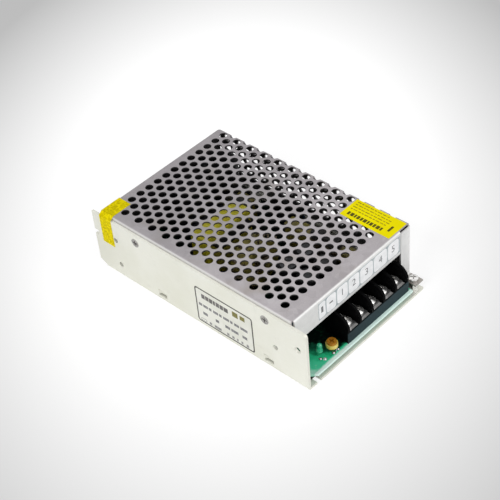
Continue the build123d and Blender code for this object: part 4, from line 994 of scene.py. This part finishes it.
# %% The label on the near wall
LABEL_EDGE = rounded_outline(0, 42, 3.5, 29, 1.8)
LABEL_INSIDE = rounded_outline(0.85, 41.15, 4.35, 28.15, 1.2)
PALE_FRAME = corners(2.5, 6.7, 4.7, 6.5), corners(2.8, 6.4, 5.0, 6.2)
WALL_PRINT = (
    ("wall_print_bold", bold_ink, [],
     [(22.3, 25.4, (4.8, 7.3, 7.7, 10.2, 10.6, 13.0, 13.4, 15.0, 15.5, 18.0, 18.4, 20.9, 21.3, 24.4))]),
    ("wall_print_olive", olive_ink, [], [(22.6, 26.3, (27.5, 31.5)), (23.2, 26.2, (33.0, 36.5))]),
    ("wall_print_small", print_ink, [],
     [(15.9, 17.8, (2.1, 4.6, 5.3, 8.8, 9.5, 11.5, 12.6, 16.4, 17.1, 19.0, 20.1, 24.4, 25.1, 27.0,
                    28.2, 31.7, 32.6, 37.8)),
      (10.0, 12.0, (4.6, 8.0, 13.9, 16.4, 21.0, 24.6, 25.4, 30.7, 33.6, 37.0))]),
    ("wall_print_pale", pale_ink, [PALE_FRAME],
     [(4.9, 6.7, (8.8, 10.5, 12.6, 17.6, 21.8, 23.5, 25.6, 27.3, 29.0, 30.2, 32.3, 33.6, 36.1, 37.8))]),
)


def wall_label():
    sheet, border = Sheet(on_wall), Sheet(on_wall)
    sheet.plate(LABEL_EDGE, 0.0, PAPER)
    border.frame(LABEL_EDGE, LABEL_INSIDE)
    sheet.piece("wall_label", label_paper, "side_label")
    border.piece("wall_label_frame", frame_ink)
    for name, ink, frames, rows in WALL_PRINT:
        marks = Sheet(on_wall)
        for outer, inner in frames:
            marks.frame(outer, inner)
        for low, high, edges in rows:
            marks.row(edges, low, high)
        marks.piece(name, ink)


wall_label()
print("wall label with", len(WALL_PRINT), "inks")

# %% [markdown]
# The sticker on the top is bright yellow with thin rows of dashes and one bold row. The dashes come
# from a fixed pattern of lengths, so that the rows look like lines of text without being any.

# %% The sticker on the top
FINE_ROWS = {45.2: (2.4, 1.4, 3.1), 43.1: (1.7, 2.9, 1.2), 41.0: (3.0, 1.5, 2.2), 38.9: (1.3, 2.6, 1.9)}
FINE_HEIGHT = 0.75


def dashes(start, stop, lengths, gap):
    """Edges of dashes whose lengths follow a repeating pattern."""
    edges, here, k = [], start, 0
    while here + lengths[k % len(lengths)] < stop:
        edges += [here, here + lengths[k % len(lengths)]]
        here = edges[-1] + gap
        k += 1
    return edges


def top_sticker():
    film, fine, text = Sheet(on_top), Sheet(on_top), Sheet(on_top)
    film.plate(rounded_outline(34, 68, 31.9, 47.4, 0.4), 0.0, PAPER)
    for level, pattern in FINE_ROWS.items():
        fine.row(dashes(36, 61.5, pattern, 0.6), level, level + FINE_HEIGHT)
    text.row(dashes(37, 60.5, (1.5, 2.1, 1.2, 1.8), 0.55), 34.1, 36.8)
    text.row((63.2, 64.6), 36.2, 41.0)
    film.piece("top_sticker_film", sticker_yellow, "top_sticker", slot="yellow_label")
    fine.piece("top_sticker_rows", sticker_fine_ink, slot="yellow_label")
    text.piece("top_sticker_print", sticker_ink, slot="yellow_label")


top_sticker()
print("top sticker laid")

# %% [markdown]
# Over the terminals a strip of white rounded boxes is printed on the flange. Five boxes carry plain
# numbers for the five screws, and two carry simple marks. A number is a text object whose mesh is
# taken once and pressed flat.

# %% The marking strip over the terminals
STRIP_LEVEL = 0.06
BOX_EDGES = [38.6, 28.5, 16.6, 5.2, -4.3, -13.7, -22.1, -28.0]
BOX_LOW, BOX_HIGH, BOX_MARGIN = 28.9, 39.6, 0.4
CORNER_MOST, CORNER_SHARE = 2.0, 0.25
NUMERALS = {"5": 33.4, "4": 22.6, "3": 10.9, "2": 0.5, "1": -9.0}
NUMERAL_MIDDLE, NUMERAL_HEIGHT, CAPITAL_SHARE = 34.6, 4.6, 0.72
NUMERAL_LEVEL, NUMERAL_HALF = 0.09, 0.005


def marking():
    ground, boxes, marks = Sheet(on_flange), Sheet(on_flange), Sheet(on_flange)
    ground.plate(corners(-28, 39.5, 28.5, 40.0), 0.0, STRIP_LEVEL)
    for far, near in zip(BOX_EDGES, BOX_EDGES[1:]):
        radius = min(CORNER_MOST, (far - near) * CORNER_SHARE)
        outline = rounded_outline(near + BOX_MARGIN, far - BOX_MARGIN, BOX_LOW, BOX_HIGH, radius)
        boxes.plate(outline, STRIP_LEVEL, PAPER)
    marks.row((-19.4, -16.7), 34.0, 35.0)
    marks.row((-25.9, -24.3), 32.6, 36.6)
    ground.piece("marking_ground", strip_grey, "terminal_marking")
    boxes.piece("marking_boxes", strip_white)
    marks.piece("marking_marks", print_ink)


def numeral(text, a):
    """A number as a flat mesh, centred on a place along the strip."""
    curve = bpy.data.curves.new("numeral_" + text, "FONT")
    curve.body, curve.size = text, NUMERAL_HEIGHT / CAPITAL_SHARE
    curve.extrude, curve.resolution_u = NUMERAL_HALF, 3
    curve.align_x, curve.align_y = "CENTER", "CENTER"
    maker = bpy.data.objects.new("numeral_" + text, curve)
    mesh = bpy.data.meshes.new_from_object(maker)
    bpy.data.objects.remove(maker)
    turn = Matrix(((0, 0, 1), (1, 0, 0), (0, 1, 0))).to_4x4()
    place = Matrix.Translation(on_flange(a, NUMERAL_MIDDLE, NUMERAL_LEVEL))
    mesh.transform(Matrix.Scale(MM, 4) @ place @ turn)
    return mesh


def numerals():
    shape = bmesh.new()
    for text, a in NUMERALS.items():
        shape.from_mesh(numeral(text, a))
    bmesh.ops.remove_doubles(shape, verts=shape.verts[:], dist=1e-7)
    seat(from_shape("marking_numerals", shape, print_ink), "paper_label")


marking()
numerals()
print("marking strip with", len(BOX_EDGES) - 1, "boxes")

# %% [markdown]
# ## Stage, light and camera
# The object stands on a plain white floor, which in the photograph turns softly grey outwards. The
# floor carries that as a broad oval of white, laid along the direction of the view and fading to a
# pale grey. What the camera sees of the floor is lit mostly from inside, which keeps it white, and
# the shadow still falls on it.

# %% Floor
GLOW_CENTRE, GLOW_TURN, GLOW_SHAPE = (-0.065, 0.056, 0.0), math.radians(-42.67), (1.0, 0.646, 1.0)
GLOW_REACH, GLOW_FALL, GLOW_LEAST, GLOW_STRENGTH = 0.109, 4.6, 0.5, 0.76
FLOOR_HALF = 3.0


def floor_white():
    finish = Finish("floor_white", roughness=0.9, specular_ior_level=0.0)

    def vector(operation, *values):
        return finish.node("ShaderNodeVectorMath", dict(enumerate(values)), operation=operation)

    sockets = {"Vector": vector("SUBTRACT", finish.place, GLOW_CENTRE), "Rotation": (0, 0, GLOW_TURN)}
    laid = finish.node("ShaderNodeMapping", sockets)
    away = Level(finish, vector("LENGTH", vector("MULTIPLY", laid, GLOW_SHAPE)).outputs["Value"])
    # painted pool of light: white inside the oval, falling off to pale grey outwards as painted shade
    white = (1 - (away - GLOW_REACH) * GLOW_FALL).math("MAXIMUM", GLOW_LEAST)
    seen = Level(finish, finish.node("ShaderNodeLightPath").outputs["Is Camera Ray"])
    dim = finish.mix(white, (0, 0, 0), (0.35, 0.35, 0.35))
    finish.set(base_color=finish.mix(seen, (0.92, 0.92, 0.92), dim),
               emission_color=finish.mix(seen * white, (0, 0, 0), (1, 1, 1)),
               emission_strength=GLOW_STRENGTH)
    return finish


shape = bmesh.new()
bmesh.ops.create_grid(shape, x_segments=1, y_segments=1, size=FLOOR_HALF)
from_shape("floor", shape, floor_white())
print("floor laid")

# %% [markdown]
# The world is white to the camera and to reflections, and gentler as a light, so that pale sheet
# metal keeps its colour. One soft lamp over the near side gives the shadow its direction, and a
# weaker one fills the terminal end.

# %% World and lamps
def world_light(strength):
    world = bpy.data.worlds.new("studio")
    bpy.context.scene.world = world
    world.use_nodes = True
    wiring = Wiring(world.node_tree)
    path = wiring.node("ShaderNodeLightPath").outputs
    direct = wiring.math("MAXIMUM", path["Is Camera Ray"], path["Is Glossy Ray"])
    direct = direct.math("MAXIMUM", path["Is Transmission Ray"])
    level = wiring.node("ShaderNodeMapRange", {"Value": direct, "To Min": strength, "To Max": 1.0})
    background = wiring.tree.nodes["Background"]
    wiring.feed(background.inputs["Color"], (1, 1, 1))
    wiring.feed(background.inputs["Strength"], level)


def soft_lamp(name, place, size, power, aim=(0, 0, 0.02)):
    data = bpy.data.lights.new(name, "AREA")
    data.size, data.energy = size, power
    lamp = linked(name, data)
    lamp.location = place
    lamp.rotation_euler = (Vector(aim) - Vector(place)).to_track_quat("-Z", "Y").to_euler()


world_light(0.45)
soft_lamp("key", (0.1, -1.1, 0.9), 0.6, 9.0)
soft_lamp("fill", (1.0, 0.1, 0.8), 0.8, 5.5)
print("world and two lamps")

# %% [markdown]
# The camera stands where the photograph was taken from: its place and turn were found by matching
# corners and holes of the case, and its long lens keeps the sides nearly parallel.

# %% Camera
CAMERA_PLACE, SENSOR, LENS = (0.38996, -0.37520, 0.49969), 36.0, 93.39
CAMERA_RIGHT, CAMERA_UP = (0.7332, 0.6758, -0.0756), (-0.4095, 0.5275, 0.7443)


def camera():
    data = bpy.data.cameras.new("camera")
    data.sensor_width, data.lens = SENSOR, LENS
    view = linked("camera", data)
    right, up = Vector(CAMERA_RIGHT), Vector(CAMERA_UP)
    back = right.cross(up).normalized()
    up = back.cross(right).normalized()
    turn = Matrix((right.normalized(), up, back)).transposed().to_4x4()
    view.matrix_world = Matrix.Translation(CAMERA_PLACE) @ turn
    bpy.context.scene.camera = view


camera()
bpy.context.scene.view_settings.view_transform = "Standard"
print("camera set")

# %% [markdown]
# Nothing here may make the object larger.
